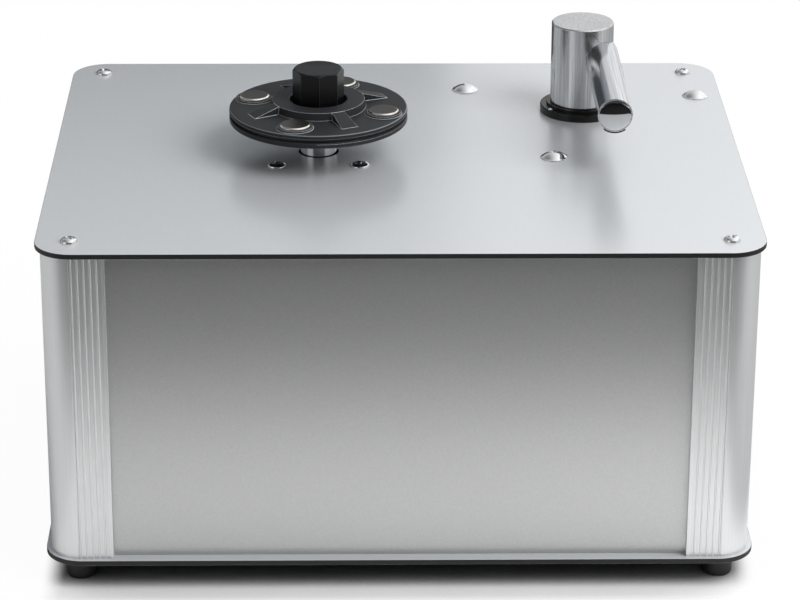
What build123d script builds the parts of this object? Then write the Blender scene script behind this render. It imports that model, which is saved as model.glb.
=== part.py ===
"""Vacuum record cleaning machine: aluminium case, driven platter with clamp, swinging suction arm.

Millimetres, +X right, +Y to the back, +Z up. The origin is on the floor, under the middle of the case.
"""
import math
import os

from build123d import *

# ---------------------------------------------------------------- driving dimensions
# Clearances
fit_gap = 0.05                  # between a shaft and its bore
seat_gap = 0.3                  # between pieces that lie loosely on each other
over = 1.0                      # how far a cutting shape runs past the face it cuts
lap = 0.5                       # how far a joined shape runs into the one it joins

# Case
deck_width = 395.0
deck_depth = 318.0
deck_corner_radius = 20.8
plate_thickness = 3.0
plate_edge_break = 0.25
plate_overhang = 2.8            # the plates stand out past the corner profiles
body_height = 180.0             # corner profiles, between the two plates
foot_height = 14.0
foot_radius = 8.3
foot_taper = 0.4
foot_edge_radius = 1.6

# Corner profiles
profile_leg = 35.7
profile_wall = 2.4
port_inset = 16.0               # screw port, from both outer faces
port_radius = 4.8
ridge_count = 5
ridge_pitch = 3.45
ridge_radius = 0.55
ridge_field_depth = 0.6
ridge_edge_margin = 4.4         # from the leg's inner edge to the first ridge
lip_width = 1.6
slot_depth = 10.0
slot_web = 2.0
slot_back = 1.8
panel_recess = 4.5
panel_thickness = 2.0
panel_slot_gap = 0.1

# Screws
screw_radius = 2.4
screw_head_radius = 4.7
screw_head_height = 3.0
screw_cross_width = 1.2
screw_cross_depth = 1.6
screw_cross_angle = 45.0
port_screw_length = 16.0

# Platter drive
spindle_inset_x = 152.1         # spindle, from the deck's left edge
spindle_inset_y = 158.5         # and from its back edge
gearbox_width = 57.0
gearbox_height = 40.0
gearbox_edge_radius = 6.0
gear_screw_offset = 23.9
gear_screw_depth = 12.0
gear_motor_radius = 27.5
gear_motor_height = 56.0
can_edge_radius = 3.0
crimp_depth = 1.0
crimp_width = 3.0
crimp_drop = 5.0                # crimped groove, below the can's top
gland_length = 5.0
bush_radius = 7.0
bush_length = 20.0
bush_rise = 0.6                 # bush above the gearbox
shaft_radius = 4.0
shaft_depth = 32.0              # shaft inside the gearbox
hub_radius = 10.4
hub_height = 19.9               # hub top above the deck
deck_hub_gap = 1.2
hub_edge_break = 0.5

# Platter and clamp
platter_radius = 51.2
platter_thickness = 3.0
platter_web = 1.8
platter_rim = 3.2
platter_boss_radius = 15.0
platter_rib_count = 6
platter_rib_width = 2.0
platter_edge_radius = 0.6
platter_screw_count = 3
platter_screw_angle = 30.0
platter_screw_radius = 1.25
platter_screw_head = 1.2        # countersunk head's height
platter_screw_shift = 0.2       # outwards from the middle of the hub's wall
hub_screw_depth = 9.0
mat_radius = 49.4
mat_thickness = 1.8
record_pin_radius = 3.6         # for the record's 7.24 mm centre hole
record_pin_plain = 7.1          # plain length above the mat
record_pin_stud_radius = 2.0
record_pin_stud_length = 12.0
thread_radius = 3.0
thread_length = 15.2
thread_lead = 0.8
clamp_gap = 0.1                 # clamp disc over the mat
clamp_thickness = 2.9
clamp_hub_outer = 26.8
clamp_hub_inner = 16.4
clamp_hub_height = 4.8          # hub ring above the disc's top
clamp_hub_draft = 0.3
clamp_hub_foot = 0.9            # rounded foot of the hub ring
clamp_floor = 2.2               # floor under the knob
clamp_recess_taper = 0.5
clamp_recess_lip = 0.8
clamp_hub_break = 0.6
clamp_rim_round = 1.2
clamp_rim_break = 0.6
clamp_ramp_count = 4
clamp_ramp_angle = 25.5
clamp_ramp_reach = 42.0
clamp_ramp_inner_width = 7.8
clamp_ramp_outer_width = 9.9
clamp_ramp_root = 1.6           # ramp's root inside the hub ring, on each side of it
clamp_ramp_drop = 0.3           # ramp's root below the hub ring's top
clamp_ramp_shelf = 0.4          # level part outside the hub ring
pad_circle_radius = 39.4
pad_angle = 70.8
pad_radius = 8.75
pad_thickness = 2.0
pad_seat_radius = 10.3
pad_seat_height = 1.2
pad_seat_floor = 0.4            # seat floor above the disc's top
pad_seat_break = 0.4
pad_edge_radius = 0.7
seal_radius = 46.0
seal_width = 3.0
seal_depth = 1.0
knob_radius = 14.75             # across the corners
knob_side_count = 8
knob_turn = 3.5
knob_height = 21.6
knob_crown = 1.4
knob_crown_radius = 13.3
knob_crown_drop = 0.4           # where the crown's cone meets its flatter middle
knob_foot_break = 0.5
knob_wall = 4.0                 # material over the thread
washer_radius = 9.0
washer_thickness = 1.2

# Suction arm
arm_inset_x = 86.5              # arm's post, from the deck's right edge
arm_inset_y = 86.9              # and from its back edge
flange_radius = 24.3
flange_height = 4.3
flange_collar_radius = 20.6
flange_collar_height = 1.7
flange_edge_radius = 0.6
flange_neck_radius = 15.5
flange_neck_length = 10.0       # neck below the deck's top
flange_screw_circle = 22.4
flange_screw_radius = 1.2
flange_screw_head_radius = 1.5
flange_screw_head_height = 0.9
flange_screw_head_rim = 0.3
flange_screw_count = 3
flange_screw_angle = 213.0
arm_bush_wall = 2.0
arm_bush_flange = 2.4
arm_skirt_gap = 1.0             # post's skirt round the bush's flange
arm_bush_flange_height = 1.5
riser_radius = 11.0
riser_wall = 1.7
riser_socket = 16.0             # riser inside the post
riser_dip = 14.0                # riser below the tank's lid
post_radius = 18.4
post_top = 55.2                 # above the deck
post_edge_break = 0.7
post_chamber_top = 7.5          # solid top over the air chamber
arm_radius = 9.9
arm_wall = 1.5
arm_axis_height = 36.6          # above the deck
arm_offset = 11.0               # arm's axis beside the post's
arm_reach = 114.4               # post axis to the arm's end
arm_root_round = 5.0            # closed end of the arm beside the post's axis
arm_slot_width = 3.0
arm_slot_margin = 4.0           # slot's end, short of the post
arm_edge_radius = 0.3
arm_cap_radius = 9.0
arm_cap_thickness = 2.0
arm_cap_crown = 0.8             # dome of the cap's face
strip_angle = 34.0              # outer edge of the pile, from straight down
strip_thickness = 1.0
strip_inset = 1.0               # pile's front, behind the arm's end

# Waste tank under the arm
tank_inset_x = 87.9             # tank's axis, from the deck's right edge
tank_inset_y = 93.0             # and from its back edge
tank_radius = 62.0
tank_wall = 2.5
tank_bottom_gap = 27.0          # over the base plate
tank_bolt_circle = 78.9
tank_bolt_angles = (147.4, 22.9, -104.2)
tank_bolt_radius = 3.0
tank_dome_radius = 7.85
tank_dome_height = 3.4
tank_dome_rim = 0.6
tank_ear_radius = 5.6
tank_ear_thickness = 4.0
tank_flange_width = 3.0
tank_flange_height = 3.0
tank_foot_radius = 5.0
tank_hang = 9.0                 # rubber grommets between the deck and the lid
grommet_wall = 2.4
nut_sides = 6
nut_width = 10.0
nut_height = 5.0
bolt_end = 2.0                  # bolt's tip below its nut
lid_pipe_length = 40.0
lid_pipe_wall = 2.0
seal_lip = 1.0
seal_skirt = 2.0                # seal below the lid
seal_flange = 1.5
port_height = 37.0              # suction port axis, below the deck's underside
port_reach = 16.0
hose_inner_radius = 15.1
hose_wall = 1.9
hose_bend = 28.0
hose_clip_width = 8.0
hose_clip_thickness = 1.0
hose_clip_rise = 3.0            # lower clip over the blower's cover
hose_clip_inset = 4.0           # side clip, from the tank's wall

# Blower
blower_inset_x = 82.5           # blower's axis, from the deck's left edge
blower_radius = 62.0
blower_sheet = 2.0
blower_pan_bottom = 63.0        # over the base plate
blower_pan_height = 40.0
blower_horn_offset = 40.0
blower_horn_radius = 15.0
blower_motor_radius = 42.0
blower_motor_height = 54.0
blower_spigot_height = 14.0
blower_shaft_depth = 20.0       # shaft inside the motor
blower_edge_radius = 1.0
blower_bell = 0.8               # end bell's radius, of the motor's
impeller_radius = 54.0
impeller_height = 26.0
impeller_eye = 18.0
impeller_plate = 1.5
impeller_hub_radius = 9.0
impeller_blade_count = 9
impeller_blade_radius = 42.0
pillar_circle = 52.0
pillar_radius = 5.0
pillar_count = 3
pillar_screw_depth = 9.0
vent_count = 9
vent_width = 3.0
vent_height = 46.0
vent_pitch = 6.5

# Drain
drain_height = 11.0             # drain axis over the tank's bottom
drain_bore = 4.5
drain_wall = 2.0
drain_tail = 9.5                # fitting inside the rear panel
drain_flange_radius = 9.5
drain_flange = 1.0
drain_spigot = 4.7
drain_nut = 3.0
drain_nipple = 9.0
drain_hose_wall = 2.4
plug_cap = 1.3
plug_shank = 10.0
plug_lead = 0.8
plug_cap_inset = 0.3            # cap's edge inside the spigot's

# Mains inlet and switches
inlet_x = -2.0
inlet_height = 52.0             # inlet centre over the base plate
inlet_flange_width = 31.0
inlet_flange_height = 37.0
inlet_flange = 2.0
inlet_body_width = 27.0
inlet_body_height = 32.5
inlet_body_depth = 26.0
inlet_socket_depth = 16.0
inlet_socket_width = 22.6
inlet_socket_height = 15.2
inlet_socket_rise = 6.4         # socket centre above the inlet's centre
inlet_pin_spread = 7.0
inlet_pin_width = 2.0
inlet_pin_height = 4.0
inlet_pin_gap = 4.0             # earth pin above the row of the other two
inlet_socket_corner = 4.0
inlet_corner_radius = 2.0
drawer_width = 19.0
drawer_height = 8.0
drawer_depth = 18.0
drawer_drop = 11.5              # drawer centre below the inlet's centre
drawer_wall = 2.0
drawer_ledge = 1.0              # finger ledge out of the drawer's face
drawer_ledge_height = 1.6
switch_height = 122.0           # switch centres over the base plate
switch_inset = 61.0             # first switch, from the deck's front edge
switch_pitch = 38.0
switch_flange_width = 22.0
switch_flange_height = 30.0
switch_flange = 2.0
switch_corner_radius = 2.0
switch_wall = 1.6
switch_body_depth = 24.0
switch_well_depth = 9.0
rocker_length = 24.0
rocker_width = 15.0
rocker_tilt = 12.0
rocker_proud = 1.2              # middle of the rocker, out of the bezel
rocker_skirt = 0.5
rocker_pivot_radius = 1.5
rocker_pivot_depth = 3.0        # pivot inside the bezel's face

# Electrics on the base plate
capacitor_inset_x = 47.5        # capacitor, from the deck's left edge
capacitor_inset_y = 64.0        # and from its front edge
capacitor_radius = 17.5
capacitor_length = 62.0
capacitor_edge_radius = 2.0
capacitor_crimp_depth = 0.8
capacitor_crimp_width = 2.0
terminal_aside = 25.4           # strip's middle, to the right of the spindle
terminal_inset_y = 59.0         # and from the deck's front edge
terminal_width = 62.0
terminal_depth = 22.0
terminal_height = 15.0
terminal_step = 7.0
terminal_pole_count = 6
terminal_rib = 1.6
cable_radius = 2.8
cable_bend = 12.0
cable_lift = 3.2                # cable axis over the base plate
cable_lane = 4.0                # motor cable in front of the strip's middle
cable_edge = 5.0                # switch cable inside the strip's end
cable_run = 2.5                 # straight out of a fitting, in bend radii
cable_loop = 2.0                # and where it loops back

# ---------------------------------------------------------------- derived places
base_bottom = foot_height
base_top = base_bottom + plate_thickness
deck_bottom = base_top + body_height
deck_top = deck_bottom + plate_thickness
half_width = deck_width / 2 - plate_overhang
half_depth = deck_depth / 2 - plate_overhang
body_corner_radius = deck_corner_radius - plate_overhang
port_x = half_width - port_inset
port_y = half_depth - port_inset
panel_inner = panel_recess + panel_thickness
side_inner_x = half_width - panel_inner
rear_inner_y = half_depth - panel_inner
rear_outer_y = half_depth - panel_recess
side_outer_x = half_width - panel_recess

spindle_x = -deck_width / 2 + spindle_inset_x
spindle_y = deck_depth / 2 - spindle_inset_y
arm_x = deck_width / 2 - arm_inset_x
arm_y = deck_depth / 2 - arm_inset_y
tank_x = deck_width / 2 - tank_inset_x
tank_y = deck_depth / 2 - tank_inset_y
blower_x = -deck_width / 2 + blower_inset_x
blower_y = tank_y
terminal_x = spindle_x + terminal_aside
terminal_y = -deck_depth / 2 + terminal_inset_y
capacitor_x = -deck_width / 2 + capacitor_inset_x
capacitor_y = -deck_depth / 2 + capacitor_inset_y
foot_screw_seat = foot_height / 2
gland_z = deck_bottom - gearbox_height - gear_motor_height / 2
hub_bottom = deck_bottom + bush_rise + seat_gap
platter_screw_circle = (hub_radius + shaft_radius) / 2 + platter_screw_shift

platter_bottom = deck_top + hub_height
platter_top = platter_bottom + platter_thickness
mat_top = platter_top + mat_thickness
clamp_bottom = mat_top + clamp_gap
clamp_top = clamp_bottom + clamp_thickness
clamp_hub_top = clamp_top + clamp_hub_height
clamp_floor_top = clamp_bottom + seal_depth + clamp_floor
washer_bottom = clamp_floor_top + fit_gap
knob_bottom = washer_bottom + washer_thickness + fit_gap
knob_top = knob_bottom + knob_height
pin_shoulder = mat_top + record_pin_plain
pin_top = pin_shoulder + thread_length

flange_top = deck_top + flange_height
collar_top = flange_top + flange_collar_height
bush_inner = riser_radius + fit_gap
bush_outer = bush_inner + arm_bush_wall
bush_top = collar_top + fit_gap + arm_bush_flange_height
post_bottom = collar_top + seat_gap
post_top_z = deck_top + post_top
riser_top = post_bottom + riser_socket
arm_z = deck_top + arm_axis_height
arm_axis_x = arm_x + arm_offset
arm_end_y = arm_y - arm_reach
arm_slot_length = arm_reach - 2 * arm_cap_thickness - post_radius - arm_slot_margin
bush_skirt = bush_outer + arm_bush_flange + arm_skirt_gap

lid_top = deck_bottom - tank_hang
lid_bottom = lid_top - tank_ear_thickness
tank_bottom = base_top + tank_bottom_gap
riser_bottom = lid_bottom - riser_dip
suction_z = deck_bottom - port_height
drain_z = tank_bottom + drain_height
pan_bottom = base_top + blower_pan_bottom
pan_top = pan_bottom + blower_pan_height
impeller_low = pan_bottom + 2 * blower_sheet
blower_shaft_low = pan_bottom - blower_shaft_depth
hose_outer_radius = hose_inner_radius + hose_wall
spigot_radius = hose_inner_radius - fit_gap
switch_z = base_top + switch_height
switch_first_y = -deck_depth / 2 + switch_inset
switch_places = [switch_first_y + i * switch_pitch for i in range(2)]
inlet_z = base_top + inlet_height

UP = (Align.CENTER, Align.CENTER, Align.MIN)
BACK = Plane((0, 0, 0), x_dir=(1, 0, 0), z_dir=(0, 1, 0))      # sketches seen from the back
SIDE = Plane((0, 0, 0), x_dir=(0, 1, 0), z_dir=(1, 0, 0))      # sketches seen from the right
DIAGONAL = Plane((0, 0, 0), z_dir=(1, -1, 0))                  # mirrors one leg onto the other


# ---------------------------------------------------------------- small helpers
def disc(radius, low, high):
    """Upright cylinder between two heights."""
    return Pos(0, 0, low) * Cylinder(radius, high - low, align=UP)


def ring(outer, inner, low, high):
    return disc(outer, low, high) - disc(inner, low - over, high + over)


def block(low, high):
    """Box between two corners."""
    size = [b - a for a, b in zip(low, high)]
    return Pos(*low) * Box(*size, align=(Align.MIN, Align.MIN, Align.MIN))


def turned(outline):
    """Solid of revolution about Z from a closed outline in the XZ plane."""
    return revolve(Plane.XZ * make_face(outline), Axis.Z)


def four_corners(offset_x, offset_y):
    return [(sx * offset_x, sy * offset_y) for sx in (-1, 1) for sy in (-1, 1)]


def around(radius, count, start):
    """Points on a circle about the origin."""
    turns = [math.radians(start + 360 * i / count) for i in range(count)]
    return [(radius * math.cos(a), radius * math.sin(a)) for a in turns]


def at_tank_bolts():
    """The three bolt places about the tank's axis."""
    turns = [math.radians(a) for a in tank_bolt_angles]
    return [(tank_bolt_circle * math.cos(a), tank_bolt_circle * math.sin(a)) for a in turns]


def group(solids):
    """Separate solids kept in one node."""
    return Compound(children=list(solids))


def dome_outline(radius, rim, height):
    """Half outline of a domed head: a low straight rim, then one arc up to the axis."""
    rise = height - rim
    sphere = (radius**2 + rise**2) / (2 * rise)
    mid_radius = radius / 2
    mid_height = height - sphere + math.sqrt(sphere**2 - mid_radius**2)
    wall = Polyline((0, height), (0, 0), (radius, 0), (radius, rim))
    return wall + ThreePointArc((radius, rim), (mid_radius, mid_height), (0, height))


def pan_screw(shank_length, head_radius=screw_head_radius, shank_radius=screw_radius):
    """Pan-head screw with a cross recess: head above Z = 0, shank below."""
    head = turned(dome_outline(head_radius, screw_head_height / 3, screw_head_height))
    for turn in (0, 90):
        arm = Box(head_radius, screw_cross_width, 2 * screw_cross_depth)
        head -= Pos(0, 0, screw_head_height) * Rot(0, 0, screw_cross_angle + turn) * arm
    return head + disc(shank_radius, -shank_length, lap)


# ---------------------------------------------------------------- case
def plate(low):
    """Black-core composite sheet with rounded corners and lightly broken edges."""
    outline = RectangleRounded(deck_width, deck_depth, deck_corner_radius)
    sheet = Pos(0, 0, low) * extrude(outline, plate_thickness)
    faces = sheet.faces().sort_by(Axis.Z)
    return chamfer(faces[-1].edges() + faces[0].edges(), plate_edge_break)


def screw_holes(places, radius, low, high):
    return [Pos(x, y, 0) * disc(radius, low, high) for x, y in places]


def deck_plate():
    low = deck_bottom - over
    high = deck_top + over
    sheet = plate(deck_bottom)
    sheet -= screw_holes(four_corners(port_x, port_y), screw_radius + fit_gap, low, high)
    sheet -= Pos(spindle_x, spindle_y, 0) * disc(hub_radius + deck_hub_gap, low, high)
    gear_places = four_corners(gear_screw_offset, gear_screw_offset)
    gear_holes = screw_holes(gear_places, screw_radius + fit_gap, low, high)
    sheet -= [Pos(spindle_x, spindle_y, 0) * hole for hole in gear_holes]
    sheet -= Pos(arm_x, arm_y, 0) * disc(flange_neck_radius + fit_gap, low, high)
    flange_places = around(flange_screw_circle, flange_screw_count, flange_screw_angle)
    flange_holes = screw_holes(flange_places, flange_screw_radius + fit_gap, low, high)
    sheet -= [Pos(arm_x, arm_y, 0) * hole for hole in flange_holes]
    tank_holes = screw_holes(at_tank_bolts(), tank_bolt_radius + fit_gap, low, high)
    sheet -= [Pos(tank_x, tank_y, 0) * hole for hole in tank_holes]
    return sheet


def pillar_places():
    return [(blower_x + x, blower_y + y) for x, y in around(pillar_circle, pillar_count, 90)]


def base_plate():
    places = four_corners(port_x, port_y) + pillar_places()
    holes = screw_holes(places, screw_radius + fit_gap, base_bottom - over, base_top + over)
    return plate(base_bottom) - holes


def profile_section():
    """Section of a corner extrusion: outer faces on X = 0 and Y = 0, the corner at the origin."""
    span = 4 * profile_leg
    core = span - 2 * profile_wall
    outer = RectangleRounded(span, span, body_corner_radius)
    inner = RectangleRounded(core, core, body_corner_radius - profile_wall)
    skin = Pos(span / 2, span / 2) * (outer - inner)
    section = skin & Pos(profile_leg / 2, profile_leg / 2) * Rectangle(profile_leg, profile_leg)
    section = section + leg_details() + mirror(leg_details(), about=DIAGONAL)
    section = section - leg_cuts() - mirror(leg_cuts(), about=DIAGONAL)
    section = section + ridges() + mirror(ridges(), about=DIAGONAL)
    section += Pos(port_inset, port_inset) * Circle(port_radius)
    return section - Pos(port_inset, port_inset) * Circle(screw_radius + fit_gap)


def rect(low, high):
    """Rectangle between two corners."""
    middle = Pos((low[0] + high[0]) / 2, (low[1] + high[1]) / 2)
    return middle * Rectangle(high[0] - low[0], high[1] - low[1])


def leg_details():
    """Panel seat at the end of the leg along X, and the web from the leg to the screw port."""
    inside = profile_wall / 2 + ridge_field_depth / 2
    seat_back = panel_inner + panel_slot_gap + slot_back
    seat = rect((profile_leg - slot_depth - slot_web, inside), (profile_leg, seat_back))
    web = rect((port_inset - profile_wall / 2, inside), (port_inset + profile_wall / 2, port_inset))
    return seat + web


def leg_cuts():
    """Panel slot and the shallow field that the ridges stand in, on the leg along X."""
    slot_low = panel_recess - panel_slot_gap
    slot_high = panel_inner + panel_slot_gap
    slot = rect((profile_leg - slot_depth, slot_low), (profile_leg + over, slot_high))
    first = profile_leg - ridge_edge_margin - (ridge_count - 1) * ridge_pitch
    field = rect((first - 2 * ridge_radius, -over), (profile_leg - lip_width, ridge_field_depth))
    return slot + field


def ridges():
    places = [profile_leg - ridge_edge_margin - i * ridge_pitch for i in range(ridge_count)]
    return Sketch() + [Pos(x, ridge_field_depth) * Circle(ridge_radius) for x in places]


def corner_profiles():
    """Four extrusions: one section, mirrored to each corner."""
    bar = extrude(profile_section(), body_height)
    front_left = Pos(-half_width, -half_depth, base_top) * bar
    front_right = mirror(front_left, about=Plane.YZ)
    return {
        "corner_profile_front_left": front_left,
        "corner_profile_front_right": front_right,
        "corner_profile_rear_left": mirror(front_left, about=Plane.XZ),
        "corner_profile_rear_right": Rot(0, 0, 180) * front_left,
    }


def panel(length):
    """Flat sheet standing on the base plate, its outer face on Y = 0, facing -Y."""
    half = length / 2 - profile_leg + slot_depth - seat_gap
    return block((-half, 0, base_top), (half, panel_thickness, deck_bottom - panel_slot_gap))


def front_panel():
    return Pos(0, -half_depth + panel_recess, 0) * panel(2 * half_width)


def rear_panel():
    sheet = Pos(0, half_depth - panel_inner, 0) * panel(2 * half_width)
    low = rear_inner_y - over
    high = rear_outer_y + over
    half_w = inlet_body_width / 2 + fit_gap
    half_h = inlet_body_height / 2 + fit_gap
    inlet_low = (inlet_x - half_w, low, inlet_z - half_h)
    inlet_high = (inlet_x + half_w, high, inlet_z + half_h)
    sheet -= block(inlet_low, inlet_high)
    drain_hole = disc(drain_bore + drain_wall + fit_gap, 0, high - low)
    sheet -= Pos(tank_x, low, drain_z) * Rot(-90, 0, 0) * drain_hole
    horn_z = pan_bottom + blower_pan_height / 2
    slot = BACK * SlotOverall(vent_height, vent_width, rotation=90)
    vent = Pos(0, high, 0) * extrude(slot, -(high - low))
    first = blower_x + blower_horn_offset - (vent_count - 1) * vent_pitch / 2
    sheet -= [Pos(first + i * vent_pitch, 0, horn_z) * vent for i in range(vent_count)]
    return sheet


def side_panel():
    sheet = Rot(0, 0, 90) * panel(2 * half_depth)
    return Pos(half_width - panel_recess, 0, 0) * sheet


def right_panel():
    sheet = side_panel()
    half_w = switch_flange_width / 2 - switch_wall
    half_h = switch_flange_height / 2 - switch_wall
    for y in switch_places:
        low = (side_inner_x - over, y - half_w, switch_z - half_h)
        high = (side_outer_x + over, y + half_w, switch_z + half_h)
        sheet -= block(low, high)
    return sheet


def left_panel():
    return mirror(side_panel(), about=Plane.YZ)


def foot():
    """Rubber foot with a recess for its screw's head."""
    low_radius = foot_radius - foot_taper
    bend = foot_edge_radius
    side = Polyline((0, 0), (low_radius - bend, 0))
    arc = CenterArc((low_radius - bend, bend), bend, -90, 90)
    rest = Polyline((low_radius, bend), (foot_radius, foot_height), (0, foot_height), (0, 0))
    body = turned(side + arc + rest)
    body -= disc(screw_head_radius + seat_gap, -over, foot_screw_seat)
    return body - disc(screw_radius + fit_gap, -over, foot_height + over)


def deck_screws():
    """Corner screws into the profiles, and the gear motor's four screws."""
    corner_screw = pan_screw(port_screw_length)
    gear_screw = pan_screw(plate_thickness + gear_screw_depth - over)
    gear_places = four_corners(gear_screw_offset, gear_screw_offset)
    screws = [Pos(x, y, deck_top) * corner_screw for x, y in four_corners(port_x, port_y)]
    screws += [Pos(spindle_x + x, spindle_y + y, deck_top) * gear_screw for x, y in gear_places]
    return group(screws)


def feet():
    return group(Pos(x, y, 0) * foot() for x, y in four_corners(port_x, port_y))


def base_screws():
    """Foot screws up into the profiles, and pillar screws up into the blower's pillars."""
    foot_screw = Rot(180, 0, 0) * pan_screw(port_screw_length + foot_height - foot_screw_seat)
    pillar_screw = Rot(180, 0, 0) * pan_screw(plate_thickness + pillar_screw_depth)
    screws = [Pos(x, y, foot_screw_seat) * foot_screw for x, y in four_corners(port_x, port_y)]
    screws += [Pos(x, y, base_bottom) * pillar_screw for x, y in pillar_places()]
    return group(screws)


# ---------------------------------------------------------------- platter drive
def gearbox():
    low = deck_bottom - gearbox_height
    plan = RectangleRounded(gearbox_width, gearbox_width, gearbox_edge_radius)
    body = Pos(0, 0, low) * extrude(plan, gearbox_height)
    places = four_corners(gear_screw_offset, gear_screw_offset)
    hole_bottom = deck_bottom - gear_screw_depth
    body -= screw_holes(places, screw_radius + fit_gap, hole_bottom, deck_bottom + over)
    body -= disc(bush_radius + fit_gap, deck_bottom - bush_length, deck_bottom + over)
    body -= disc(shaft_radius + seat_gap, deck_bottom - shaft_depth - seat_gap, deck_bottom)
    return Pos(spindle_x, spindle_y, 0) * body


def gear_motor():
    """Motor can under the gearbox, with a crimped end cap and a cable gland."""
    high = deck_bottom - gearbox_height
    low = high - gear_motor_height
    can = disc(gear_motor_radius, low, high)
    can = fillet(can.edges().sort_by(Axis.Z)[0], can_edge_radius)
    crimp_top = high - crimp_drop
    crimp_floor = gear_motor_radius - crimp_depth
    can -= ring(gear_motor_radius + over, crimp_floor, crimp_top - crimp_width, crimp_top)
    gland = Rot(90, 0, 0) * disc(2 * cable_radius, 0, gland_length)
    can += Pos(0, over - gear_motor_radius, gland_z) * gland
    return Pos(spindle_x, spindle_y, 0) * can


def gearbox_bush():
    low = deck_bottom - bush_length
    body = ring(bush_radius, shaft_radius + fit_gap, low, deck_bottom + bush_rise)
    return Pos(spindle_x, spindle_y, 0) * body


def output_shaft():
    shaft = disc(shaft_radius, deck_bottom - shaft_depth, platter_bottom)
    stud_bottom = platter_bottom - record_pin_stud_length - over
    shaft -= disc(record_pin_stud_radius + fit_gap, stud_bottom, platter_bottom + over)
    return Pos(spindle_x, spindle_y, 0) * shaft


def spindle_hub():
    """Sleeve on the shaft, drilled for the platter's screws."""
    body = disc(hub_radius, hub_bottom, platter_bottom)
    body = chamfer(body.edges().sort_by(Axis.Z)[0], hub_edge_break)
    high = platter_bottom + over
    body -= disc(shaft_radius + fit_gap, hub_bottom - over, high)
    low = platter_bottom - hub_screw_depth - over
    body -= screw_holes(platter_screw_places(), platter_screw_radius + fit_gap, low, high)
    return Pos(spindle_x, spindle_y, 0) * body


# ---------------------------------------------------------------- platter and clamp
def platter():
    """Moulded disc: thin web, full rim, boss and ribs underneath."""
    body = disc(platter_radius, platter_bottom, platter_top)
    body = fillet(body.edges(), platter_edge_radius)
    web_bottom = platter_top - platter_web
    low = platter_bottom - over
    high = platter_top + over
    hollow = ring(platter_radius - platter_rim, platter_boss_radius, low, web_bottom)
    rib_length = platter_radius - platter_rim / 2
    rib_height = web_bottom - platter_bottom
    rib = Box(rib_length, platter_rib_width, rib_height, align=(Align.MIN, Align.CENTER, Align.MIN))
    for i in range(platter_rib_count):
        hollow -= Rot(0, 0, 360 * i / platter_rib_count) * Pos(0, 0, platter_bottom) * rib
    body -= hollow
    body -= disc(record_pin_radius + fit_gap, low, high)
    body -= screw_holes(platter_screw_places(), platter_screw_radius + fit_gap, low, high)
    body -= [Pos(x, y, 0) * platter_screw_cone(fit_gap) for x, y in platter_screw_places()]
    return Pos(spindle_x, spindle_y, 0) * body


def platter_screw_places():
    return around(platter_screw_circle, platter_screw_count, platter_screw_angle)


def platter_screw_cone(gap):
    """Countersunk head, flush with the platter's top."""
    cone = Cone(platter_screw_radius + gap, 2 * platter_screw_radius + gap, platter_screw_head)
    return Pos(0, 0, platter_top - platter_screw_head / 2) * cone


def platter_screws():
    shank = disc(platter_screw_radius, platter_bottom - hub_screw_depth, platter_top - lap)
    screw = platter_screw_cone(0) + shank
    return group(Pos(spindle_x + x, spindle_y + y, 0) * screw for x, y in platter_screw_places())


def platter_mat():
    body = ring(mat_radius, record_pin_radius + seat_gap, platter_top, mat_top)
    return Pos(spindle_x, spindle_y, 0) * body


def record_spindle():
    """Centre pin: stud in the shaft, plain record seat, then the clamp's thread."""
    stud_bottom = platter_bottom - record_pin_stud_length
    stud = disc(record_pin_stud_radius, stud_bottom, platter_bottom + lap)
    plain = disc(record_pin_radius, platter_bottom, pin_shoulder)
    thread = disc(thread_radius, pin_shoulder - lap, pin_top)
    thread = chamfer(thread.edges().sort_by(Axis.Z)[-1], thread_lead)
    return Pos(spindle_x, spindle_y, 0) * (stud + plain + thread)


def clamp_outline():
    """Half section of the clamp disc, from the bore outwards over the top and back underneath."""
    bore = record_pin_radius + 2 * fit_gap
    under = clamp_bottom + seal_depth
    hub_wall = clamp_hub_outer + clamp_hub_draft
    seal_inner = seal_radius - seal_width / 2 - fit_gap
    seal_outer = seal_radius + seal_width / 2 + fit_gap
    return Polyline(
        (bore, under),
        (bore, clamp_floor_top),
        (clamp_hub_inner - clamp_recess_taper, clamp_floor_top),
        (clamp_hub_inner, clamp_hub_top - clamp_recess_lip),
        (clamp_hub_inner + clamp_recess_lip, clamp_hub_top),
        (clamp_hub_outer - clamp_hub_break, clamp_hub_top),
        (clamp_hub_outer, clamp_hub_top - clamp_hub_break),
        (hub_wall, clamp_top + clamp_hub_foot),
        (hub_wall + clamp_hub_foot / 3, clamp_top + clamp_hub_foot / 3),
        (hub_wall + clamp_hub_foot, clamp_top),
        (platter_radius - clamp_rim_round, clamp_top),
        (platter_radius - clamp_rim_round / 3, clamp_top - clamp_rim_round / 3),
        (platter_radius, clamp_top - clamp_rim_round),
        (platter_radius, clamp_bottom + clamp_rim_break),
        (platter_radius - clamp_rim_break, clamp_bottom),
        (seal_outer, clamp_bottom),
        (seal_outer, under),
        (seal_inner, under),
        (bore, under),
    )


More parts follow.
